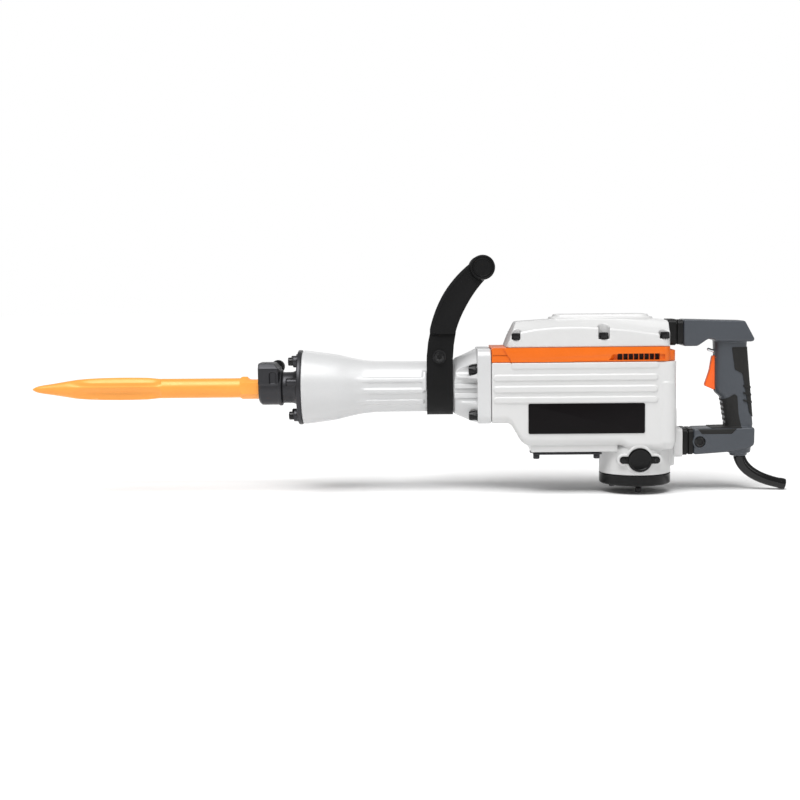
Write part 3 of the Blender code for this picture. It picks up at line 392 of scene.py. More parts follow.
def surface(name, colour, rough, metallic=0.0, coat=0.0, specular=0.5, tint=0.05, grain=900.0,
            bump=0.05, streak=None, scuffed_and_highlit_edge=None, scuff_and_highlight_amount=0.0, painted_crease_shade=0.25, spread=0.08):
    """A moulded, cast, painted or machined surface.

    tint is how much the colour drifts, grain and bump the size and height of the fine texture,
    streak the stretch of that texture, scuffed_and_highlit_edge the colour that sharp edges are
    lightened towards, as edge wear and as a painted edge highlight, scuff_and_highlight_amount how
    much of them, painted_crease_shade how dark the hollows are painted, a painted shade, and
    spread how much the roughness varies.
    """
    def make():
        found = bpy.data.materials.get(name)
        if found:
            return found
        material = bpy.data.materials.new(name)
        material.use_nodes = True
        tree = material.node_tree
        shader = tree.nodes["Principled BSDF"]
        where = tree.nodes.new("ShaderNodeTexCoord").outputs["Object"]
        for key, value in (("Metallic", metallic), ("Coat Weight", coat),
                           ("Coat Roughness", 0.12), ("Specular IOR Level", specular)):
            shader.inputs[key].default_value = value
        drift = ranged(tree, noise(tree, where, 14.0), 0.0, 1.0)
        darker = tuple(c * (1 - tint) for c in colour)
        lighter = tuple(min(1.0, c * (1 + tint)) for c in colour)
        base = mixed(tree, drift, darker, lighter)
        speck = ranged(tree, noise(tree, where, grain * 0.6, 2.0), 0.0, 1.0, 0.35, 0.65)
        base = mixed(tree, ranged(tree, speck, 0.0, 0.35, 0.0, 1.0), base,
                     tuple(c * (1 - tint * 1.5) for c in colour))
        pointed = tree.nodes.new("ShaderNodeNewGeometry").outputs["Pointiness"]
        # Edge wear and painted highlight: sharp outer edges (high pointiness) are lightened
        # towards the edge colour, broken up by noise.
        if scuffed_and_highlit_edge:
            pointed_edge_mask = ranged(tree, pointed, 0.0, 1.0, 0.54, 0.62)
            broken = ranged(tree, noise(tree, where, 120.0, 4.0), 0.0, scuff_and_highlight_amount, 0.45, 0.65)
            amount = node(tree, "ShaderNodeMath", {0: pointed_edge_mask, 1: broken},
                          operation='MULTIPLY').outputs[0]
            base = mixed(tree, amount, base, scuffed_and_highlit_edge)
        # Painted shade: hollows and creases of the mesh (low pointiness) are darkened towards a
        # third of the colour.
        if painted_crease_shade:
            crease_shade_mask = ranged(tree, pointed, painted_crease_shade, 0.0, 0.38, 0.49)
            base = mixed(tree, crease_shade_mask, base, tuple(c * 0.35 for c in colour))
        tree.links.new(base, shader.inputs["Base Color"])
        smear = noise(tree, where, 55.0, 4.0)
        tree.links.new(ranged(tree, smear, rough - spread / 2, rough + spread / 2),
                       shader.inputs["Roughness"])
        texture = where
        if streak:
            texture = node(tree, "ShaderNodeMapping",
                           {"Vector": where, "Scale": streak}).outputs["Vector"]
        relief = noise(tree, texture, grain, 2.5)
        made = node(tree, "ShaderNodeBump", {"Height": relief, "Strength": bump,
                                             "Distance": 0.0006})
        tree.links.new(made.outputs["Normal"], shader.inputs["Normal"])
        return material
    return make


# The hollows of every look are darkened as painted shade.
LOOKS = {
    "white_paint": surface("white_painted_casting", (0.62, 0.62, 0.617), 0.34, coat=0.2,
                           tint=0.02, grain=700.0, bump=0.06, painted_crease_shade=0.75),
    "grey_paint": surface("grey_painted_casting", (0.6, 0.603, 0.606), 0.36, 0.08, tint=0.025,
                          grain=800.0, bump=0.08, painted_crease_shade=0.6),
    "orange": surface("orange_moulding", (0.76, 0.142, 0.005), 0.34, tint=0.04, grain=1100.0,
                      bump=0.04, painted_crease_shade=0.45, specular=0.35),
    "trigger_orange": surface("bright_orange_moulding", (1.0, 0.14, 0.015), 0.34, tint=0.04,
                              grain=1100.0, bump=0.04, specular=0.35),
    # The edge colours of the chisel, black casting and screws lighten their sharp edges, as edge
    # wear and as a painted edge highlight.
    "chisel_paint": surface("orange_lacquered_steel", (0.95, 0.37, 0.06), 0.4, 0.1,
                            tint=0.05, grain=420.0, bump=0.07, streak=(0.15, 1.0, 1.0),
                            scuffed_and_highlit_edge=(0.95, 0.62, 0.25), scuff_and_highlight_amount=0.5, painted_crease_shade=0.15),
    "black_casting": surface("black_casting", (0.004, 0.004, 0.0042), 0.4, tint=0.2,
                             grain=650.0, bump=0.35, scuffed_and_highlit_edge=(0.1, 0.1, 0.105), scuff_and_highlight_amount=0.5,
                             specular=0.12),
    "black_steel": surface("black_coated_steel", (0.005, 0.005, 0.0052), 0.5, tint=0.15,
                           grain=1300.0, bump=0.12, specular=0.16),
    "rubber": surface("black_rubber", (0.0055, 0.0055, 0.0058), 0.6, tint=0.15, grain=1500.0,
                      bump=0.18, specular=0.16),
    "guard_rubber": surface("glossy_black_rubber", (0.005, 0.005, 0.0053), 0.16, tint=0.15,
                            grain=500.0, bump=0.03, specular=0.4),
    "boot_rubber": surface("boot_rubber", (0.006, 0.006, 0.006), 0.4, tint=0.15, grain=1000.0,
                           bump=0.15, specular=0.25),
    "pad": surface("soft_grip_rubber", (0.015, 0.015, 0.0145), 0.6, tint=0.1, grain=1800.0,
                   bump=0.3, specular=0.25),
    "slate": surface("slate_moulding", (0.052, 0.059, 0.07), 0.4, tint=0.06, grain=1500.0,
                     bump=0.22),
    "black_plastic": surface("glossy_black_moulding", (0.003, 0.003, 0.0032), 0.15, tint=0.15,
                             grain=900.0, bump=0.03, specular=0.22),
    "plate_black": surface("name_plate_black", (0.003, 0.002, 0.0025), 0.4, tint=0.2,
                           grain=1500.0, bump=0.04, specular=0.12),
    "plate_rim": surface("name_plate_rim", (0.55, 0.55, 0.55), 0.35, tint=0.05),
    "screw": surface("black_oxide_steel", (0.014, 0.014, 0.0145), 0.22, 0.3, tint=0.2,
                     grain=900.0, bump=0.1, scuffed_and_highlit_edge=(0.2, 0.2, 0.2), scuff_and_highlight_amount=0.6, specular=0.3),
    "chrome": surface("bright_steel", (0.68, 0.69, 0.71), 0.16, 1.0, tint=0.05, grain=500.0,
                      bump=0.03, spread=0.1),
    "steel": surface("machined_steel", (0.42, 0.43, 0.45), 0.33, 1.0, tint=0.08, grain=700.0,
                     bump=0.12, streak=(1.0, 0.2, 0.2)),
    "copper": surface("copper_windings", (0.62, 0.25, 0.1), 0.36, 0.9, tint=0.15, grain=900.0,
                      bump=0.4, streak=(1.0, 1.0, 0.15)),
    "carbon": surface("carbon", (0.02, 0.02, 0.022), 0.6, 0.1, tint=0.2, grain=900.0, bump=0.2),
    # Near-black sheet for the vent windows: painted shade.
    "vent_shade": surface("painted_vent_shade", (0.03, 0.03, 0.03), 0.7, tint=0.2, bump=0.1),
}


# ---------------------------------------------------------------- camera, light and floor

SENSOR, LENS, ROLL = 36.0, 63.2, -0.6
LIT_POINT = (0.0, 0.0, 0.15)
FLOOR_GAP = 0.0005
FLOOR_R = 14.0


def make_camera():
    data = bpy.data.cameras.new("camera")
    data.sensor_width = SENSOR
    data.lens = LENS
    camera = placed_object("camera", data)
    place = row(262.6, -2156.0, 159.0)
    aim = row(216.4, 0.0, -21.0)
    look = (aim - place).to_track_quat('-Z', 'Y')
    roll = Matrix.Rotation(math.radians(ROLL), 4, 'Z')
    camera.matrix_world = Matrix.Translation(place) @ look.to_matrix().to_4x4() @ roll
    bpy.context.scene.camera = camera


def area_light(name, place, size, power):
    data = bpy.data.lights.new(name, 'AREA')
    data.shape = 'RECTANGLE'
    data.size, data.size_y = size
    data.energy = power
    light = placed_object(name, data)
    light.location = place
    aim = Vector(LIT_POINT) - Vector(place)
    light.rotation_euler = aim.to_track_quat('-Z', 'Y').to_euler()


def make_studio():
    world = bpy.data.worlds.new("studio")
    bpy.context.scene.world = world
    world.use_nodes = True
    tree = world.node_tree
    background = tree.nodes["Background"]
    seen = tree.nodes.new("ShaderNodeLightPath").outputs["Is Camera Ray"]
    tree.links.new(ranged(tree, seen, 0.3, 1.0, 0.0, 1.0), background.inputs["Strength"])
    background.inputs["Color"].default_value = (1.0, 1.0, 1.0, 1.0)
    data = bpy.data.lights.new("overhead", 'SUN')
    data.energy = 2.75
    data.angle = math.radians(40)
    overhead = placed_object("overhead", data)
    overhead.rotation_euler = (math.radians(24), math.radians(-10), 0.0)
    area_light("front_strip", (-0.2, -1.7, 2.1), (3.0, 0.16), 14.0)
    area_light("right_softbox", (2.2, -1.2, 0.9), (0.3, 1.2), 4.0)
    area_light("back_softbox", (0.3, 2.6, 1.4), (2.4, 0.8), 8.0)
    floor_mesh = bpy.data.meshes.new("floor")
    bm = bmesh.new()
    bmesh.ops.create_circle(bm, cap_ends=True, segments=96, radius=FLOOR_R)
    bm.to_mesh(floor_mesh)
    bm.free()
    floor = placed_object("floor", floor_mesh)
    floor.location = (0.0, 0.0, -FLOOR_GAP)
    material = bpy.data.materials.new("pale_floor")
    material.use_nodes = True
    shader = material.node_tree.nodes["Principled BSDF"]
    for key, value in (("Base Color", (0.96, 0.96, 0.96, 1.0)), ("Roughness", 0.9),
                       ("Specular IOR Level", 0.1)):
        shader.inputs[key].default_value = value
    floor_mesh.materials.append(material)
    bpy.context.scene.view_settings.view_transform = 'Standard'


# ---------------------------------------------------------------- screws

def socket_screw(axis, face, seat, head_r, socket_r, at, shank_r, tip):
    """A cap screw head between face and seat, with its hexagon socket and a short shank."""
    out = 1 if face > seat else -1
    profile = [(0, face), (head_r - 1.3, face), (head_r - 0.4, face - out * 0.4),
               (head_r, face - out * 1.2), (head_r, seat + out * 0.5), (head_r - 0.4, seat),
               (shank_r, seat), (shank_r, tip), (0, tip)]
    head = lathe(axis, profile, at, 60, knurl=0.28, knurl_r=head_r - 0.2)
    floor = face - out * abs(face - seat) * 0.6
    socket = rod(axis, socket_r, min(floor, face + out), max(floor, face + out), at, 6)
    return cut(head, socket)


def screw_set(axis, places, head, washer, piece_name, node_name):
    """Equal cap screws, each on a washer given by its radii and heights."""
    bore, inner, outer, low, edge, high = washer
    profile = [(bore, low), (inner, low), (outer, edge), (outer, high), (bore, high)]
    for number, at in enumerate(places, 1):
        face, seat, head_r, socket_r, shank_r, tip = head
        bolt = socket_screw(axis, face, seat, head_r, socket_r, at, shank_r, tip)
        join(bolt, lathe(axis, profile, at, 48, ring=True))
        piece(bolt, f"{piece_name}_{number}", "screw", f"{node_name}_{number}")


# ---------------------------------------------------------------- chisel and front end

FLUTE_TURN = math.radians(14)
FLUTE_ROOT = 9.6
HEX_ACROSS_FLATS = 30
RETAINER_AT = (20.5, 26.5)
BORE_R = 32.3
FRONT_BOLTS = [(y, z) for z in (41.2, -41.2) for y in (-25.9, 25.9)]
CASE_BOLTS = [(y, z) for z in (27, -42) for y in (-45, 45)]


def make_chisel():
    stations = [(-352, 0.9), (-350.5, 2.4), (-347, 4.1), (-338, 6.2), (-320, 8.7),
                (-301, 11.8), (-283, 15), (-264, 16.7), (-246, 17.5), (-218, 18),
                (-195, 17.9), (-172, 17.4), (-162, 16.2), (-153, 15.1), (-140, 15),
                (-20, 15)]
    steps = 64
    loops = []
    for radius, x in smooth_profile(stations, 2.4, 3):
        rise = min(1, max(0, (x + 298) / 40))
        fall = min(1, max(0, (-150 - x) / 16))
        depth = math.sin(rise * math.pi / 2) ** 1.2 * math.sin(fall * math.pi / 2) ** 0.6
        loop = []
        for i in range(steps):
            angle = 2 * math.pi * i / steps
            flute = abs(math.sin(2 * (angle + FLUTE_TURN))) ** 1.15
            r = radius
            if radius > FLUTE_ROOT:
                r = radius - depth * flute * (radius - FLUTE_ROOT) * 0.92
            loop.append((x, r * math.cos(angle), r * math.sin(angle)))
        loops.append(loop)
    shank = skin(loops)
    corner = HEX_ACROSS_FLATS / math.sqrt(3)
    rear = prism("YZ", hexagon(corner), -29, 58)
    keep(rear, lathe("X", [(0, 58.5), (14.8, 58), (corner + 0.4, 55.4),
                           (corner + 0.4, -25.5), (15.4, -29.3), (0, -29.6)], steps=96))
    join(shank, rear)
    notch = rounded([(-19.5, 22, 0), (-16.5, 12.5, 6), (50, 12.5, 6), (53, 22, 0)])
    cut(shank, prism("XZ", notch, -22, 22))
    bevel(shank, 0.7, 2, 28)
    piece(shank, "bull_point_chisel", "chisel_paint", "chisel", sharp=50)


def make_front_cap():
    neck = arc((34.5, 50.5), 10.5, math.radians(90), math.radians(180), 8)
    profile = [(0, 77.8), (31.7, 77.8), (31.7, 67.6), (57, 67.6), (57.3, 66.9),
               (57.3, 62), (56.3, 61)]
    profile += neck
    profile += [(23.8, 37), (27.9, 36), (27.9, 31.4), (26.6, 30.4), (26.6, 4.8),
                (22.6, 0.4), (0, 0.4)]
    cap = lathe("X", profile, steps=96)
    block = [(-27.6, 5.5), (27.6, 5.5), (27.6, 31), (20.5, 38.6), (-20.5, 38.6),
             (-27.6, 31)]
    parts = [bevel(prism("YZ", block, 0.6, 32.6), 1.6, 3),
             rod("X", 6, 44, 64, (22, 9), 32),
             rod("X", 6, 44, 64, (-22, 9), 32)]
    for side_y in (-25.9, 25.9):
        for side_z in (-41.2, 41.2):
            parts.append(rod("X", 9, 55, 62, (side_y, side_z), 40))
    cast(merge(cap, *parts), 0.8, 1, 1)
    slope = [(23, 50), (23, 39.4), (26, 37.4), (31.5, 31), (36, 31), (36, 50)]
    cut(cap, prism("XZ", slope, -32, 32))
    cut(cap, prism("XZ", rounded([(18, 7.5, 2), (28.5, 7.5, 2), (28.5, 25.5, 4),
                                  (18, 25.5, 4)]), -40, -24.6),
        box((-5, 12), (-40, -27), (3.6, 5.6)))
    cast(cap, 0.8, 3, 0.3)
    cut(cap, prism("YZ", hexagon(17.75), -2, 59.6),
        rod("X", 14.2, 55, 80),
        rod("Y", 10.9, -20.2, 30, RETAINER_AT))
    for side_y in (-25.9, 25.9):
        for side_z in (-41.2, 41.2):
            cut(cap, rod("X", 4.6, 50, 70, (side_y, side_z), 24))
    piece(cap, "front_cap_casting", "black_casting", "front_cap", sharp=55)


def make_retainer():
    pin = rod("Y", 10.5, -19.9, 28.5, RETAINER_AT, 72, 1)
    cut(pin, box((5, 36), (-22, 22), (34.7, 45)))
    piece(pin, "tool_retainer", "chrome", "retainer")
    knob_at = (RETAINER_AT[0] + 5.3, RETAINER_AT[1] + 3.6)
    knob = lathe("Y", [(0, 28.3), (10.2, 28.3), (10.7, 29), (10.7, 35.6), (10, 37.2),
                       (8.8, 37.9), (7.6, 37.9), (7, 37), (0, 37)],
                 knob_at, 72, knurl=0.35, knurl_r=10.5)
    piece(knob, "retainer_knob", "screw", body="retainer")


def make_front_bolts():
    screw_set("X", FRONT_BOLTS, (47.5, 58.6, 6.25, 3.2, 3.9, 66),
              (4.2, 7.9, 8.2, 58.3, 58.6, 59.6), "front_screw", "front_bolt")


def make_cylinder_case():
    stations = [(68, 57), (87, 54.7), (105, 52.4), (124, 49.3), (142, 44.7),
                (161, 41), (179, 39.3), (215, 38.9), (253, 38.8), (297.6, 38.8),
                (300.6, 43.2), (307, 45.8), (314, 48.6), (321, 51.8), (327, 54.8),
                (333, 57.6), (345, 57.6)]
    curve = smooth_profile(stations[:9], 3, 3) + smooth_profile(stations[9:], 1.5, 1)
    start = [(0, 68), (56, 68)]
    barrel = lathe("X", start + curve[1:] + [(0, 345)], steps=112)
    bars = []
    cut(barrel, box((290, 350), (-60, 60), (-70, -54.2)),
        *[box((299, 350), span(side, 40.4, 70), (-21.6, 14.4))
          for side in (-1, 1)])
    lug = lathe("X", [(0, 251.5), (41, 251.5), (42.2, 252.7), (42.2, 257.6), (0, 257.6)],
                steps=96)
    bars.append(keep(lug, box((250, 258), (-60, 60), (-3, 25))))
    for height in (13, -4, -21.6):
        raised = [(r + 2.6 * min(1, max(0, (h - 150) / 22)), h)
                  for r, h in smooth_profile(stations[:9], 3, 3) if h > 146]
        raised = [(0, raised[0][1])] + raised + [(0, raised[-1][1])]
        for side in (-1, 1):
            bar = lathe("X", raised, steps=112)
            keep(bar, box((150, 256), span(side, 18, 60),
                          (height - 3.2, height + 3.2)))
            bars.append(bar)
    square = rect((-56, 56), (-54.3, 58.3), 14, 10)
    cast(merge(barrel, prism("YZ", square, 334, 354.6), *bars), 1, 2, 1)
    for side_y in (-45, 45):
        for side_z in (27, -42):
            cut(barrel, rod("X", 9, 300, 334.3, (side_y, side_z), 48))
    cast(barrel, 1, 3, 0.35)
    ribs = []
    for side in (-1, 1):
        for height in (2.7, -11.8):
            rib = box((299.4, 335), span(side, 37, 42.6),
                      (height - 3.6, height + 3.6))
            ribs.append(bevel(rib, 0.9, 3))
    join(barrel, *ribs)
    cut(barrel, rod("X", BORE_R, 60, 360, steps=96))
    piece(barrel, "barrel_casting", "grey_paint", "cylinder_case", sharp=60)


def make_case_bolts():
    screw_set("X", CASE_BOLTS, (321, 333.4, 6.8, 3.6, 3.9, 350),
              (4.2, 8, 8.3, 332.6, 332.9, 334), "case_screw", "case_bolt")


# ---------------------------------------------------------------- housing

MOTOR = (576.7, 0)
BRUSH_Z = -109.8
BRUSH_AT = (MOTOR[0], BRUSH_Z)
CRANK_X = 485.7
IDLER_X = 539.7
COVER_SCREWS = [(x, y) for y in (-50.5, 50.5) for x in (392, 523, 614)]


def stadium(reach, half):
    """A bar with round ends across the brush cap."""
    return rect((MOTOR[0] - reach, MOTOR[0] + reach), (BRUSH_Z - half, BRUSH_Z + half),
                half * 0.98, 8)


def make_crank_case():
    underside = [(355.3, -53.8), (384, -53.8), (399, -82), (408, -88), (552, -88.3),
                 (562, -97), (616, -97), (632.7, -74)]
    loops = []
    for low, x in smooth_profile([(x, -z) for x, z in underside], 2.5, 3):
        ring = rect((-56, 56), (-low, 37.9), (13, 13, 0, 0), 10)
        loops.append([(x, y, z) for y, z in ring])
    case = skin(loops)
    plan = rect((355.3, 632.7), (-56, 56), (1.5, 15, 15, 1.5), 10)
    keep(case, prism("XY", plan, -120, 60))
    dome = [(0, -70)] + [(54.3 * math.cos(a), -100 + 24 * math.sin(a))
                             for a in [math.radians(d) for d in range(85, -1, -6)]]
    dome += [(54.3, -101), (54.3, -134), (0, -134)]
    parts = [lathe("Z", dome, MOTOR, 112)]
    parts.append(bevel(box((414, 545), (-47.5, 47.5), (-98.4, -70)), 2, 3))
    parts.append(prism("XZ", stadium(34, 8.6), -55.6, 55.6))
    parts.append(rod("Y", 21.3, -56, 56, BRUSH_AT, 72))
    for side in (-1, 1):
        for height in (15, -2.4, -18.4):
            outline = rect((358.5, 603), (height - 4, height + 4), 3.9, 6)
            parts.append(slab(outline, side, 50, 57.9))
        panel = rect((386, 604), (29, 37.9), (2, 3.5, 3.5, 0), 4)
        parts.append(slab(panel, side, 50, 57.6))
        column = [(0, 7.4), (16, 7.4), (16.6, 6.4), (16.6, -84), (12, -94), (0, -97)]
        parts.append(lathe("Z", column, (616.4, 41.2 * side), 64))
    parts.append(bevel(box((616, 634.5), (-24, 24), (-123, -80)), 3, 3))
    cast(merge(case, *parts), 1.05, 4, 0.28)
    cut(case, rod("X", BORE_R, 350, 400),
        box((393, 514), (-29, 29), (-36, 30.5)),
        box((425, 510), (-29, 29), (-99.5, -20)),
        rod("Z", 10.3, 20, 45, (CRANK_X, 0)),
        rod("Z", 49, -140, 26, MOTOR, 96),
        rod("Z", 16.3, 20, 45, MOTOR),
        rod("Y", 10.3, -60, 60, BRUSH_AT))
    piece(case, "crank_case_casting", "white_paint", "crank_case", sharp=60)


def make_cover_band():
    rear = 623.2
    outline = rect((355.4, rear), (-57.2, 57.2), (4, 14, 14, 4), 10)
    band = prism("XY", outline, 38.5, 60.1)
    lobe = rect((596, 632.4), (-43, 43), (2, 10, 10, 2))
    join(band, prism("XY", lobe, 38.5, 54))
    bevel(band, 0.9, 3, 30)
    tools = []
    for side in (-1, 1):
        front = [(350, 36), (383.5, 36), (383.5, 43), (371, 62.5), (350, 62.5)]
        tools.append(slab(front, side, 54.9, 62))
        window = rect((543.5, 606), (40.7, 50.2), 0.6, 3)
        tools.append(slab(window, side, 46, 62))
        ramp = skin([[(x, yy * side, z) for x, z in ((530, 41), (545, 41), (545, 49.3),
                                                     (536, 49.3))]
                     for yy in (62, 57.2)] +
                    [[(x, 51 * side, z) for x, z in ((536, 41), (545, 41),
                                                       (545, 49.3), (541, 49.3))]])
        tools.append(ramp)
        tools.append(slab(rect((600, 613.5), (41, 49.3), 0.6, 3), side, 54.2, 62))
        tools.append(box((478, 640), span(side, 56.5, 62), (37, 39.9)))
        seams = ([(383.5, 36), (383.5, 43), (371, 62.5), (369.4, 62.5), (382.2, 42.6),
                  (382.2, 36)],
                 [(357, 48.2), (379, 48.2), (378.4, 49.2), (357, 49.2)])
        tools += [slab(seam, side, 52.6, 62) for seam in seams]
    cut(band, *tools)
    fins = []
    for side in (-1, 1):
        for number in range(7):
            x = 551.5 + 7.85 * number
            fins.append(box((x - 0.6, x + 0.6), span(side, 49.2, 52.8), (40, 51.2)))
    join(band, *fins)
    cut(band, rod("Z", 44.5, 30, 57.3, MOTOR, 72), rod("Z", 9.2, 50, 65, MOTOR, 32),
        rod("Z", 10.3, 30, 65, (CRANK_X, 0)), rod("Z", 5.3, 50, 65, (IDLER_X, 0), 32))
    bevel(band, 0.3, 2, 35)
    piece(band, "orange_cover_band", "orange", "cover_band", sharp=35)
    # A dark sheet laid just proud of each vent window's floor: painted shade for the dark inside
    # of the vents.
    for side, name in SIDES:
        back = box((542, 607.5), span(side, 45.2, 46.2), (40.2, 50.2))
        piece(back, f"vent_shade_sheet_{name}", "vent_shade", body="housing")


def make_crank_cover():
    loops = []
    rear = 622.9
    stations = np.linspace(372, rear, 38)
    shoulder = [(372, 75), (390, 82), (420, 87.5), (455, 90.5), (490, 90.6),
                (523, 89), (560, 85.5), (600, 80), (rear, 77)]
    crown = [(372, 96.5), (391, 98), (440, 101), (500, 102.6), (560, 102.4),
             (600, 101), (rear, 99)]
    for x in stations:
        s, c = read(shoulder, x), read(crown, x)
        half = [(56, 60.4, 0), (56, s - 2, 4), (52.6, s + 2, 1.6), (51.2, s + 0.6, 0.8),
                (40, s + 5.5 + (c - s) * 0.12, 5), (30, c, 9)]
        ring = half + [(-y, z, r) for y, z, r in reversed(half)]
        loops.append([(float(x), y, z) for y, z in rounded(ring, 5)])
    cover = skin(loops)
    outline = rounded([(377, 60.4, 0), (rear, 60.4, 0), (rear, 99.5, 6), (560, 104, 0),
                       (440, 104, 0), (393, 99, 8)], 8)
    keep(cover, prism("XZ", outline, -70, 70))
    plan = rect((377, rear), (-56.2, 56.2), (10, 12, 12, 10), 10)
    keep(cover, prism("XY", plan, 50, 120))
    lid = rect((452, 594), (-29, 29), 12, 8)
    step = rect((446, 600), (-32, 32), 14, 8)
    lids = (bevel(prism("XY", lid, 95, 108.8), 2.5, 4), prism("XY", step, 94, 104.6))
    cast(merge(cover, *lids), 0.95, 2, 1)
    cut(cover, *[rod("Z", 7.7 if at[0] < 400 else 9.2, 72, 125, at, 48)
                 for at in COVER_SCREWS])
    cast(cover, 0.95, 3, 0.3)
    cut(cover, box((402, 603), (-41, 41), (50, 82)),
        box((412, 603), (-30, 30), (50, 93)),
        rod("Z", 43, 50, 93, (CRANK_X, 0)),
        rod("Z", 8.3, 90, 98, (CRANK_X, 0), 32),
        rod("Z", 5.3, 90, 98, (IDLER_X, 0), 32))
    piece(cover, "crank_cover_casting", "white_paint", "crank_cover", sharp=60)


def make_cover_screws():
    screw_set("Z", COVER_SCREWS, (82, 72.9, 6.7, 3.4, 3, 60),
              (3.4, 7, 7.3, 72.2, 72.5, 73.3), "cover_cap_screw", "cover_screw")


def make_bottom_cover():
    def outline(inset):
        return rect((418 + inset, 522 - inset), (-45 + inset, 45 - inset), 6, 8)
    cover = prism("XY", outline(0), -102.4, -100)
    join(cover, prism("XY", outline(3), -100.3, -98.7))
    cut(cover, rod("Z", 55.4, -110, -90, MOTOR, 112))
    bevel(cover, 0.7, 2)
    for x in (423, 514):
        for y in (-38, 38):
            join(cover, socket_screw("Z", -109, -102.3, 4.8, 2.4, (x, y), 2.6, -99))
    piece(cover, "bottom_cover_plate", "black_casting", "bottom_cover")


def make_tail_cover():
    profile = [(0, -134.4), (53.6, -134.4), (54.3, -135.1), (54.3, -147.6), (53.8, -149.2),
               (52.4, -150.4), (50.5, -150.8), (46.5, -150.8), (45.8, -150.2), (44.6, -150.2),
               (43.9, -150.8), (0, -150.8)]
    cover = lathe("Z", profile, MOTOR, 128)
    cut(cover, rod("Z", 13.3, -146.8, -130, MOTOR))
    for degrees in (-90, 40, 140):
        angle = math.radians(degrees)
        at = (MOTOR[0] + 41 * math.cos(angle), 41 * math.sin(angle))
        join(cover, socket_screw("Z", -160.3, -151.6, 4.6, 2.4, at, 2.6, -148),
             rod("Z", 6.4, -151.8, -150.4, at, 40))
    piece(cover, "motor_tail_cover", "black_plastic", "tail_cover")


def make_name_plates():
    for side, name in SIDES:
        rim = rect((409, 585), (-70.2, -22.7), 3.5, 6)
        face = rect((409.9, 584.1), (-69.3, -23.6), 2.8, 6)
        plate = bevel(slab(rim, side, 55.6, 56.9), 0.3, 2)
        piece(plate, f"name_plate_rim_{name}", "plate_rim", f"name_plate_{name}")
        panel = bevel(slab(face, side, 56.4, 57.45), 0.4, 2)
        piece(panel, f"name_plate_face_{name}", "plate_black", body="housing")


def make_brush_caps():
    for side, name in SIDES:
        cap = slab(stadium(30.2, 5.4), side, 55.9, 58.2)
        disc = [(0, 56.3), (18.2, 56.3), (18.2, 58.9), (17.4, 60), (16.2, 60.3), (14.6, 60.3),
                (14, 59.8), (0, 59.8)]
        join(cap, lathe("Y", [(r, y * side) for r, y in disc], BRUSH_AT, 96),
             rod("Y", 10, *span(side, 38.5, 57.5), BRUSH_AT))
        bevel(cap, 0.4, 2)
        cut(cap, box((MOTOR[0] - 9, MOTOR[0] + 9), span(side, 59.2, 62),
                     (BRUSH_Z - 1.1, BRUSH_Z + 1.1)),
            box((MOTOR[0] - 4.3, MOTOR[0] + 4.3), span(side, 36, 51.5),
                (BRUSH_Z - 6.3, BRUSH_Z + 6.3)))
        piece(cap, f"carbon_brush_cap_{name}", "black_plastic", f"brush_cap_{name}")
        for number, ear in enumerate((-25, 25), 1):
            screw = socket_screw("Y", 60 * side, 58 * side, 4, 1.9,
                                 (MOTOR[0] + ear, BRUSH_Z), 2, 54 * side)
            piece(screw, f"brush_cap_{name}_screw_{number}", "screw", body="housing",
                  slot="screw_steel")


def make_handle_bracket():
    outline = rounded([(634, -74, 0), (660, -74, 0), (673, -76.5, 5),
                       (682, -87, 9), (673, -97, 5), (660, -99.5, 0),
                       (634, -99.5, 0)], 6)
    bracket = prism("XZ", outline, -8, 8)
    pad = rect((-25, 25), (-110, -66), 6)
    plate = rect((-25, 25), (-110, -34), 6)
    cast(merge(bracket, prism("YZ", plate, 632.9, 637),
               bevel(prism("YZ", pad, 633.2, 646.2), 1.2, 3)), 0.8, 3, 0.4)
    cut(bracket, rod("Y", 6.3, -10, 10, (672.3, -86.9)))
    piece(bracket, "rear_handle_bracket", "white_paint", "handle_bracket", sharp=60)


# ---------------------------------------------------------------- side handle

STRAP_X = 277.4
CLAMP_Z = 47.6
ARM_CENTRE = (457.6, 41.8)
ARM_R = 180.3
GRIP = (342.7, 180.7)


def make_handle_strap():
    outer, inner, top = 43.7, 39.4, 46
    outline = arc((0, 0), outer, math.pi, 2 * math.pi, 48)
    outline += [(outer, top), (inner, top)]
    outline += arc((0, 0), inner, 2 * math.pi, math.pi, 48)
    outline += [(-inner, top), (-outer, top)]
    strap = prism("YZ", outline, STRAP_X - 19.4, STRAP_X + 20.2)
    legs = []
    for side in (-1, 1):
        leg = [(258, 30), (297.6, 30), (297.6, 44), (299.2, 65), (302.4, 84),
               (263.6, 81.2), (260.2, 65), (258, 44)]
        legs.append(slab(leg, side, inner, outer))
    join(strap, *legs)
    bevel(strap, 1, 3)
    cut(strap, rod("Y", 5.3, -60, 60, (STRAP_X, CLAMP_Z)))
    piece(strap, "side_handle_strap", "black_steel", "handle_strap")


def arm_band(low_angle, high_angle, margin, count=40):
    """Outline of the curved arm, which grows slimmer towards the grip."""
    angles = np.linspace(low_angle, high_angle, count)
    start, end = math.radians(167.3), math.radians(129.6)
    share = np.clip(((angles - start) / (end - start) - 0.4) / 0.6, 0, 1)
    half = 19 - 3.6 * share ** 1.5 - margin
    outer = [(ARM_CENTRE[0] + (ARM_R + h) * math.cos(a), ARM_CENTRE[1] + (ARM_R + h) * math.sin(a))
             for a, h in zip(angles, half)]
    inner = [(ARM_CENTRE[0] + (ARM_R - h) * math.cos(a), ARM_CENTRE[1] + (ARM_R - h) * math.sin(a))
             for a, h in zip(angles, half)]
    return outer + inner[::-1]


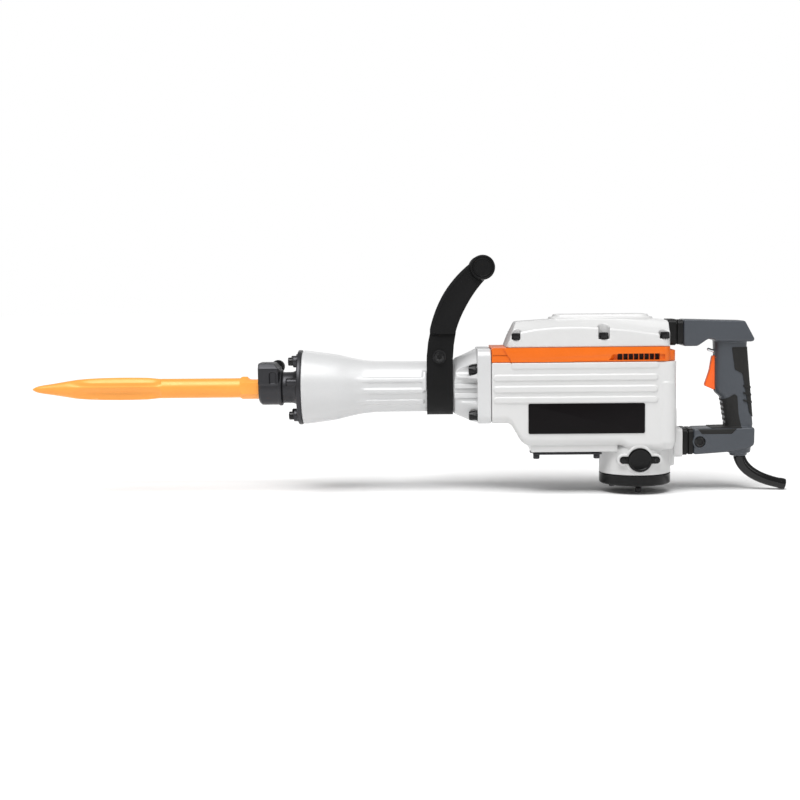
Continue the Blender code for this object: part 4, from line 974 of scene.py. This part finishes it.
def make_arm_sleeves():
    for side, name in SIDES:
        low = 43.6 * side - 4.5
        sleeve = prism("XZ", arm_band(math.radians(168), math.radians(129.6), 0), low,
                       low + 9)
        bevel(sleeve, 2.4, 4, 50)
        cut(sleeve, box((240, 320), (-60, 60), (50, 81.6)),
            rod("Y", 18.9, -60, 60, GRIP, 96))
        groove = prism("XZ", arm_band(math.radians(163.6), math.radians(136.8), 4.5),
                       *span(side, 47.4, 50))
        cut(sleeve, groove)
        bevel(sleeve, 0.4, 2, 50)
        piece(sleeve, f"side_arm_sleeve_{name}", "rubber", f"arm_sleeve_{name}", sharp=45)


def make_side_grip():
    half = [(0, 52.6), (12.4, 52.6), (12.8, 53.2), (13.4, 53.5), (14, 53.2), (14.4, 52.4),
            (15.2, 52.4), (15.8, 53.3), (16.9, 53.8), (18, 53.2), (18.7, 51.6), (18.7, 35),
            (18.3, 33.6), (17.4, 33)]
    body = []
    for i in range(11):
        h = 31.5 - 6 * i
        body += [(17.4, h + 1.1), (17.9, h + 0.6), (17.9, h - 3.4), (17.4, h - 3.9)]
    body = [p for p in body if p[1] > -33]
    profile = half + body + [(r, -h) for r, h in reversed(half)]
    grip = lathe("Y", profile, GRIP, 96)
    piece(grip, "side_handle_grip", "rubber", "side_grip", sharp=35)


def make_clamp():
    at = (STRAP_X, CLAMP_Z)
    bolt = socket_screw("Y", -52.4, -45.4, 7.5, 4, at, 5, 54.8)
    join(bolt, lathe("Y", [(5.4, -44.1), (10, -44.1), (10.3, -44.5), (10.3, -45.4),
                           (9.9, -45.8), (5.4, -45.8)], at, 72, ring=True))
    piece(bolt, "clamp_cap_screw", "screw", "clamp_bolt")
    nut = lathe("Y", [(5.4, 44.1), (9.4, 44.1), (9.8, 44.8), (9.8, 51.3), (9.2, 52),
                      (5.4, 52)], at, 6, ring=True)
    cut(nut, rod("Y", 5.2, 40, 56, at, 48))
    bevel(nut, 0.5, 2)
    piece(nut, "clamp_hex_nut", "screw", "clamp_nut")


# ---------------------------------------------------------------- rear handle

PIVOT = (672.3, -86.9)


def handle_grip():
    """The upright grip: rounded sections between its front and rear edges."""
    front = [(-84, 712), (-62, 713.8), (-47, 711.4), (-31, 709), (-19.5, 706),
             (-13, 698.5), (-6, 697), (52, 696.6), (82, 695)]
    rear = [(-84, 752), (-62, 756), (0, 750.6), (55, 745.8), (82, 747)]
    loops = []
    for z in np.linspace(-82, 80, 82):
        low, high = read(front, z), read(rear, z)
        middle, half = (low + high) / 2, (high - low) / 2
        loop = []
        for i in range(64):
            angle = 2 * math.pi * i / 64
            u, v = math.cos(angle), math.sin(angle)
            loop.append((middle + half * math.copysign(abs(u) ** 0.72, u),
                         18.2 * math.copysign(abs(v) ** 0.62, v), float(z)))
        loops.append(loop)
    return skin(loops)


def handle_body():
    upper = [(647.1, 99.6), (739.5, 96.6), (754.8, 68), (751, 64.8), (697, 66),
             (691, 69.5), (684, 69.5), (668.5, 58.9), (647.1, 58.9)]
    lower = [(662.8, -66.6), (748, -65.2), (756, -65.6), (755.6, -92.5), (746, -98.6),
             (712, -103.4), (662.8, -106.8)]
    boss = [(0, 15), (11, 15), (11, 24.2), (10.2, 24.9), (0, 24.9)]
    ring = [lathe("Y", [(r, y * side) for r, y in boss], PIVOT, 72) for side in (-1, 1)]
    parts = [bevel(prism("XZ", upper, -24, 24), 4, 4, 12),
             bevel(prism("XZ", lower, -24, 24), 4, 4, 12),
             lathe("Z", [(0, -94), (19.5, -94), (18.2, -104.6), (17.4, -105.6),
                         (13.6, -106), (13, -109.6), (12, -110.5), (0, -110.5)],
                   (735.5, 0), 96)]
    return cast(merge(handle_grip(), *parts, *ring), 0.85, 3, 0.5)


def handle_cavities(side):
    pin_way = tube([(686, 53.5), (719, 43)], (2.9, 2.9), 24)
    seam = span(side, -40, 0.12)
    return [
        box((600, 800), seam, (-140, 140)),
        box((713, 736), (-11, 11), (-2, 42)),
        box((685, 714), (-7, 7), (-10.3, 44.8)),
        rod("Y", 3.3, -10.3, 10.3, (701, 41), 32),
        pin_way,
        box((655, 688), (-9, 9), (-101.5, -73)),
        rod("Y", 6.3, -30, 30, PIVOT, 48),
        rod("Y", 8.7, *span(side, 18.7, 30), PIVOT, 64),
        box((724, 733), (-5, 5), (-100, 5)),
        rod("Z", 5, -120, -92, (737, 0), 32),
    ]


REAR_PAD = [(720.8, 56.5, 2), (760, 56.5, 0), (766, -53, 0), (757, -52, 2),
            (748.5, -43.5, 4), (737.5, 16, 5), (725.5, 22.5, 3)]
FRONT_PAD = [(690, -18, 0), (707.5, -23.5, 2), (717, -20, 4), (725.5, -14.5, 3),
             (729.5, -18, 3), (731.5, -45, 8), (736, -66, 0), (690, -66, 0)]
ARM_PAD = [(664, -60, 0), (675.5, -75.2, 2), (721, -75.2, 2), (730.5, -65.6, 2),
           (727, -60, 0)]


def make_handle_shells():
    whole = handle_body()
    whole.name = "handle_body"
    for side, name in SIDES:
        shell = copy_of(whole)
        cut(shell, *handle_cavities(side))
        for outline, depth in ((REAR_PAD, 16.9), (FRONT_PAD, 16.9), (ARM_PAD, 22.7)):
            cut(shell, slab(rounded(outline, 5), side, depth, 40))
        piece(shell, f"rear_handle_shell_{name}", "slate", f"handle_shell_{name}", sharp=50)
    make_grip_pads(whole)
    bpy.data.objects.remove(whole, do_unlink=True)


def grown(shape, amount):
    """A copy pushed out along its normals."""
    twin = copy_of(shape)
    mesh = twin.data
    moved = np.array([v.co + v.normal * amount * MM for v in mesh.vertices])
    mesh.vertices.foreach_set("co", moved.ravel())
    mesh.update()
    return twin


def make_grip_pads(whole):
    """Soft over-moulded pads: the handle's own skin, grown a little and cut to an outline."""
    for name, outline, node_name in (("rear", REAR_PAD, "rear_grip_pad"),
                                     ("front", FRONT_PAD, "front_grip_pad")):
        pad = grown(whole, 1)
        keep(pad, prism("XZ", rounded(outline, 5), -40, 40))
        core = grown(whole, -1)
        cut(pad, core, box((640, 700.5), (-7.2, 7.2), (-10.3, 60)))
        if name == "rear":
            slashes = [[(739, z - 6), (762, z - 11), (762, z - 8), (739, z - 3)]
                       for z in (2, -9, -20)]
        else:
            slashes = [[(u, z - 3.4), (u + 9, z - 6.4), (u + 9, z - 3.2), (u, z)]
                       for u, z in ((713.5, -28), (715.5, -38.5), (717.5, -49))]
            for number in range(5):
                z = -28 - 7.6 * number
                edge = 707.4 + 0.155 * 7.6 * number
                cut(pad, rod("Y", 3.1, -24, 24, (edge - 1.2, z), 24))
        raised = grown(whole, 1.8)
        keep(raised, merge(*[prism("XZ", slash, -30, 30) for slash in slashes]))
        cut(raised, grown(whole, 0.2))
        join(pad, raised)
        piece(pad, f"soft_{name}_pad", "pad", node_name, sharp=45)
    for side, name in SIDES:
        pad = grown(whole, -0.25)
        outline = [(u - 0.2, v, r) for u, v, r in ARM_PAD]
        keep(pad, slab(rounded(outline, 5), side, 22, 30))
        piece(pad, f"lower_arm_pad_{name}", "pad", body="rear_handle")


def make_pivot_bolt():
    bolt = rod("Y", 6, -21, 21, PIVOT, 48)
    profile = [(0, 18.9), (8.4, 18.9), (8.4, 22.9), (8, 23.2), (0, 23.2)]
    for side in (-1, 1):
        head = lathe("Y", [(r, y * side) for r, y in profile], PIVOT, 72)
        socket = rod("Y", 5.6, *span(side, 20.2, 26), PIVOT, 6)
        join(bolt, cut(head, socket))
    piece(bolt, "handle_pivot_bolt", "screw", "pivot_bolt")


def make_cord_guard():
    start, middle, end = (737, -110.7), (744, -144), (807.2, -155.7)
    count = 36
    route = []
    for i in range(count + 1):
        t = i / count
        route.append(tuple(a * (1 - t) ** 2 + 2 * b * t * (1 - t) + c * t * t
                           for a, b, c in zip(start, middle, end)))
    radii = [9.2 - 1.55 * i / count for i in range(count + 1)]
    radii[0] = 9
    radii[-3:] = 8.3, 8.4, 7.9
    guard = tube(route, radii, 48)
    first = Vector(route[0]) - Vector(route[1])
    last = Vector(route[-1]) - Vector(route[-2])
    bore = [tuple(Vector(route[0]) + first * 0.4)] + route[1:-1]
    bore.append(tuple(Vector(route[-1]) + last * 0.4))
    cut(guard, tube(bore, [4.8] * len(bore), 32))
    piece(guard, "cord_guard_tube", "guard_rubber", "cord_guard", sharp=45)


def make_trigger():
    outline = rounded([(694, 43, 2), (704.5, 43.6, 3), (705.5, 20, 0), (703.5, -5, 2),
                       (696.5, -8.9, 1.5), (682.4, -2.6, 2.5), (690, 20, 40)], 8)
    trigger = bevel(prism("XZ", outline, -6.6, 6.6), 1.7, 4, 50)
    join(trigger, rod("Y", 3, -10, 10, (701, 41), 32))
    piece(trigger, "trigger_lever", "trigger_orange", "trigger")


def make_lock_pin():
    start, end = Vector((687, 0, 53.2)), Vector((712, 0, 45.2))
    slope = (end - start).normalized()
    marks = ((0, 1.6), (0.5, 2.2), (1.2, 2.5), (5, 2.5), (5.3, 2.2), (5.9, 2.2), (6.2, 2.5))
    points = [start + slope * d for d, _ in marks] + [end]
    radii = [r for _, r in marks] + [2.5]
    pin = tube([(p.x, p.z) for p in points], radii, 32)
    piece(pin, "trigger_lock_pin", "chrome", "lock_pin")


def bellows(name, node_name, low, high, bottom, top, half, bands):
    """A moulded rubber boot: a rectangular ring with square bands (start, end, inset)."""
    loops = []
    for start, end, inset in bands:
        for share, step in ((0, 0.9), (0.06, 0), (0.94, 0), (1, 0.9)):
            x = low + (high - low) * (start + (end - start) * share)
            gap = inset + step
            ring = rect((-half + gap, half - gap), (bottom + gap, top - gap), 7)
            loops.append([(x, y, z) for y, z in ring])
    boot = skin(loops)
    core = rect((-half + 8, half - 8), (bottom + 8, top - 8), 4, 4)
    cut(boot, prism("YZ", core, low - 5, high + 5))
    boot = piece(boot, name, "boot_rubber", node_name, sharp=35, rides=False)
    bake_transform(boot)


# ---------------------------------------------------------------- assembly

make_camera()
make_studio()
make_chisel()
make_front_cap()
make_retainer()
make_front_bolts()
make_cylinder_case()
make_case_bolts()
make_crank_case()
make_cover_band()
make_crank_cover()
make_cover_screws()
make_bottom_cover()
make_tail_cover()
make_name_plates()
make_brush_caps()
make_handle_bracket()
make_handle_strap()
make_arm_sleeves()
make_side_grip()
make_clamp()
make_handle_shells()
make_pivot_bolt()
make_cord_guard()
make_trigger()
make_lock_pin()
bellows("upper_rubber_boot", "upper_bellows", 623.5, 646.7, 60.2, 100.0, 23.6,
        ((0.0, 0.53, 0.0), (0.55, 0.6, 2.4), (0.62, 1.0, 1.2)))
bellows("lower_rubber_boot", "lower_bellows", 646.5, 662.4, -107.2, -66.4, 24.4,
        ((0.0, 0.42, 0.0), (0.45, 0.53, 2.6), (0.56, 1.0, 0.6)))

CARRIED = {
    "cylinder_liner": "steel", "impact_bolt": "steel", "striker": "steel", "piston": "steel",
    "connecting_rod": "steel", "crankshaft": "steel", "idler_gear": "steel",
    "armature": "copper", "cooling_fan": "black_plastic", "stator": "steel",
    "motor_bearing_top": "chrome", "motor_bearing_bottom": "chrome", "brush_left": "carbon",
    "brush_right": "carbon", "switch_body": "black_plastic",
}
for node_name, look in CARRIED.items():
    kept = frame["nodes"][node_name]
    kept.data.materials.clear()
    kept.data.materials.append(LOOKS[look]())
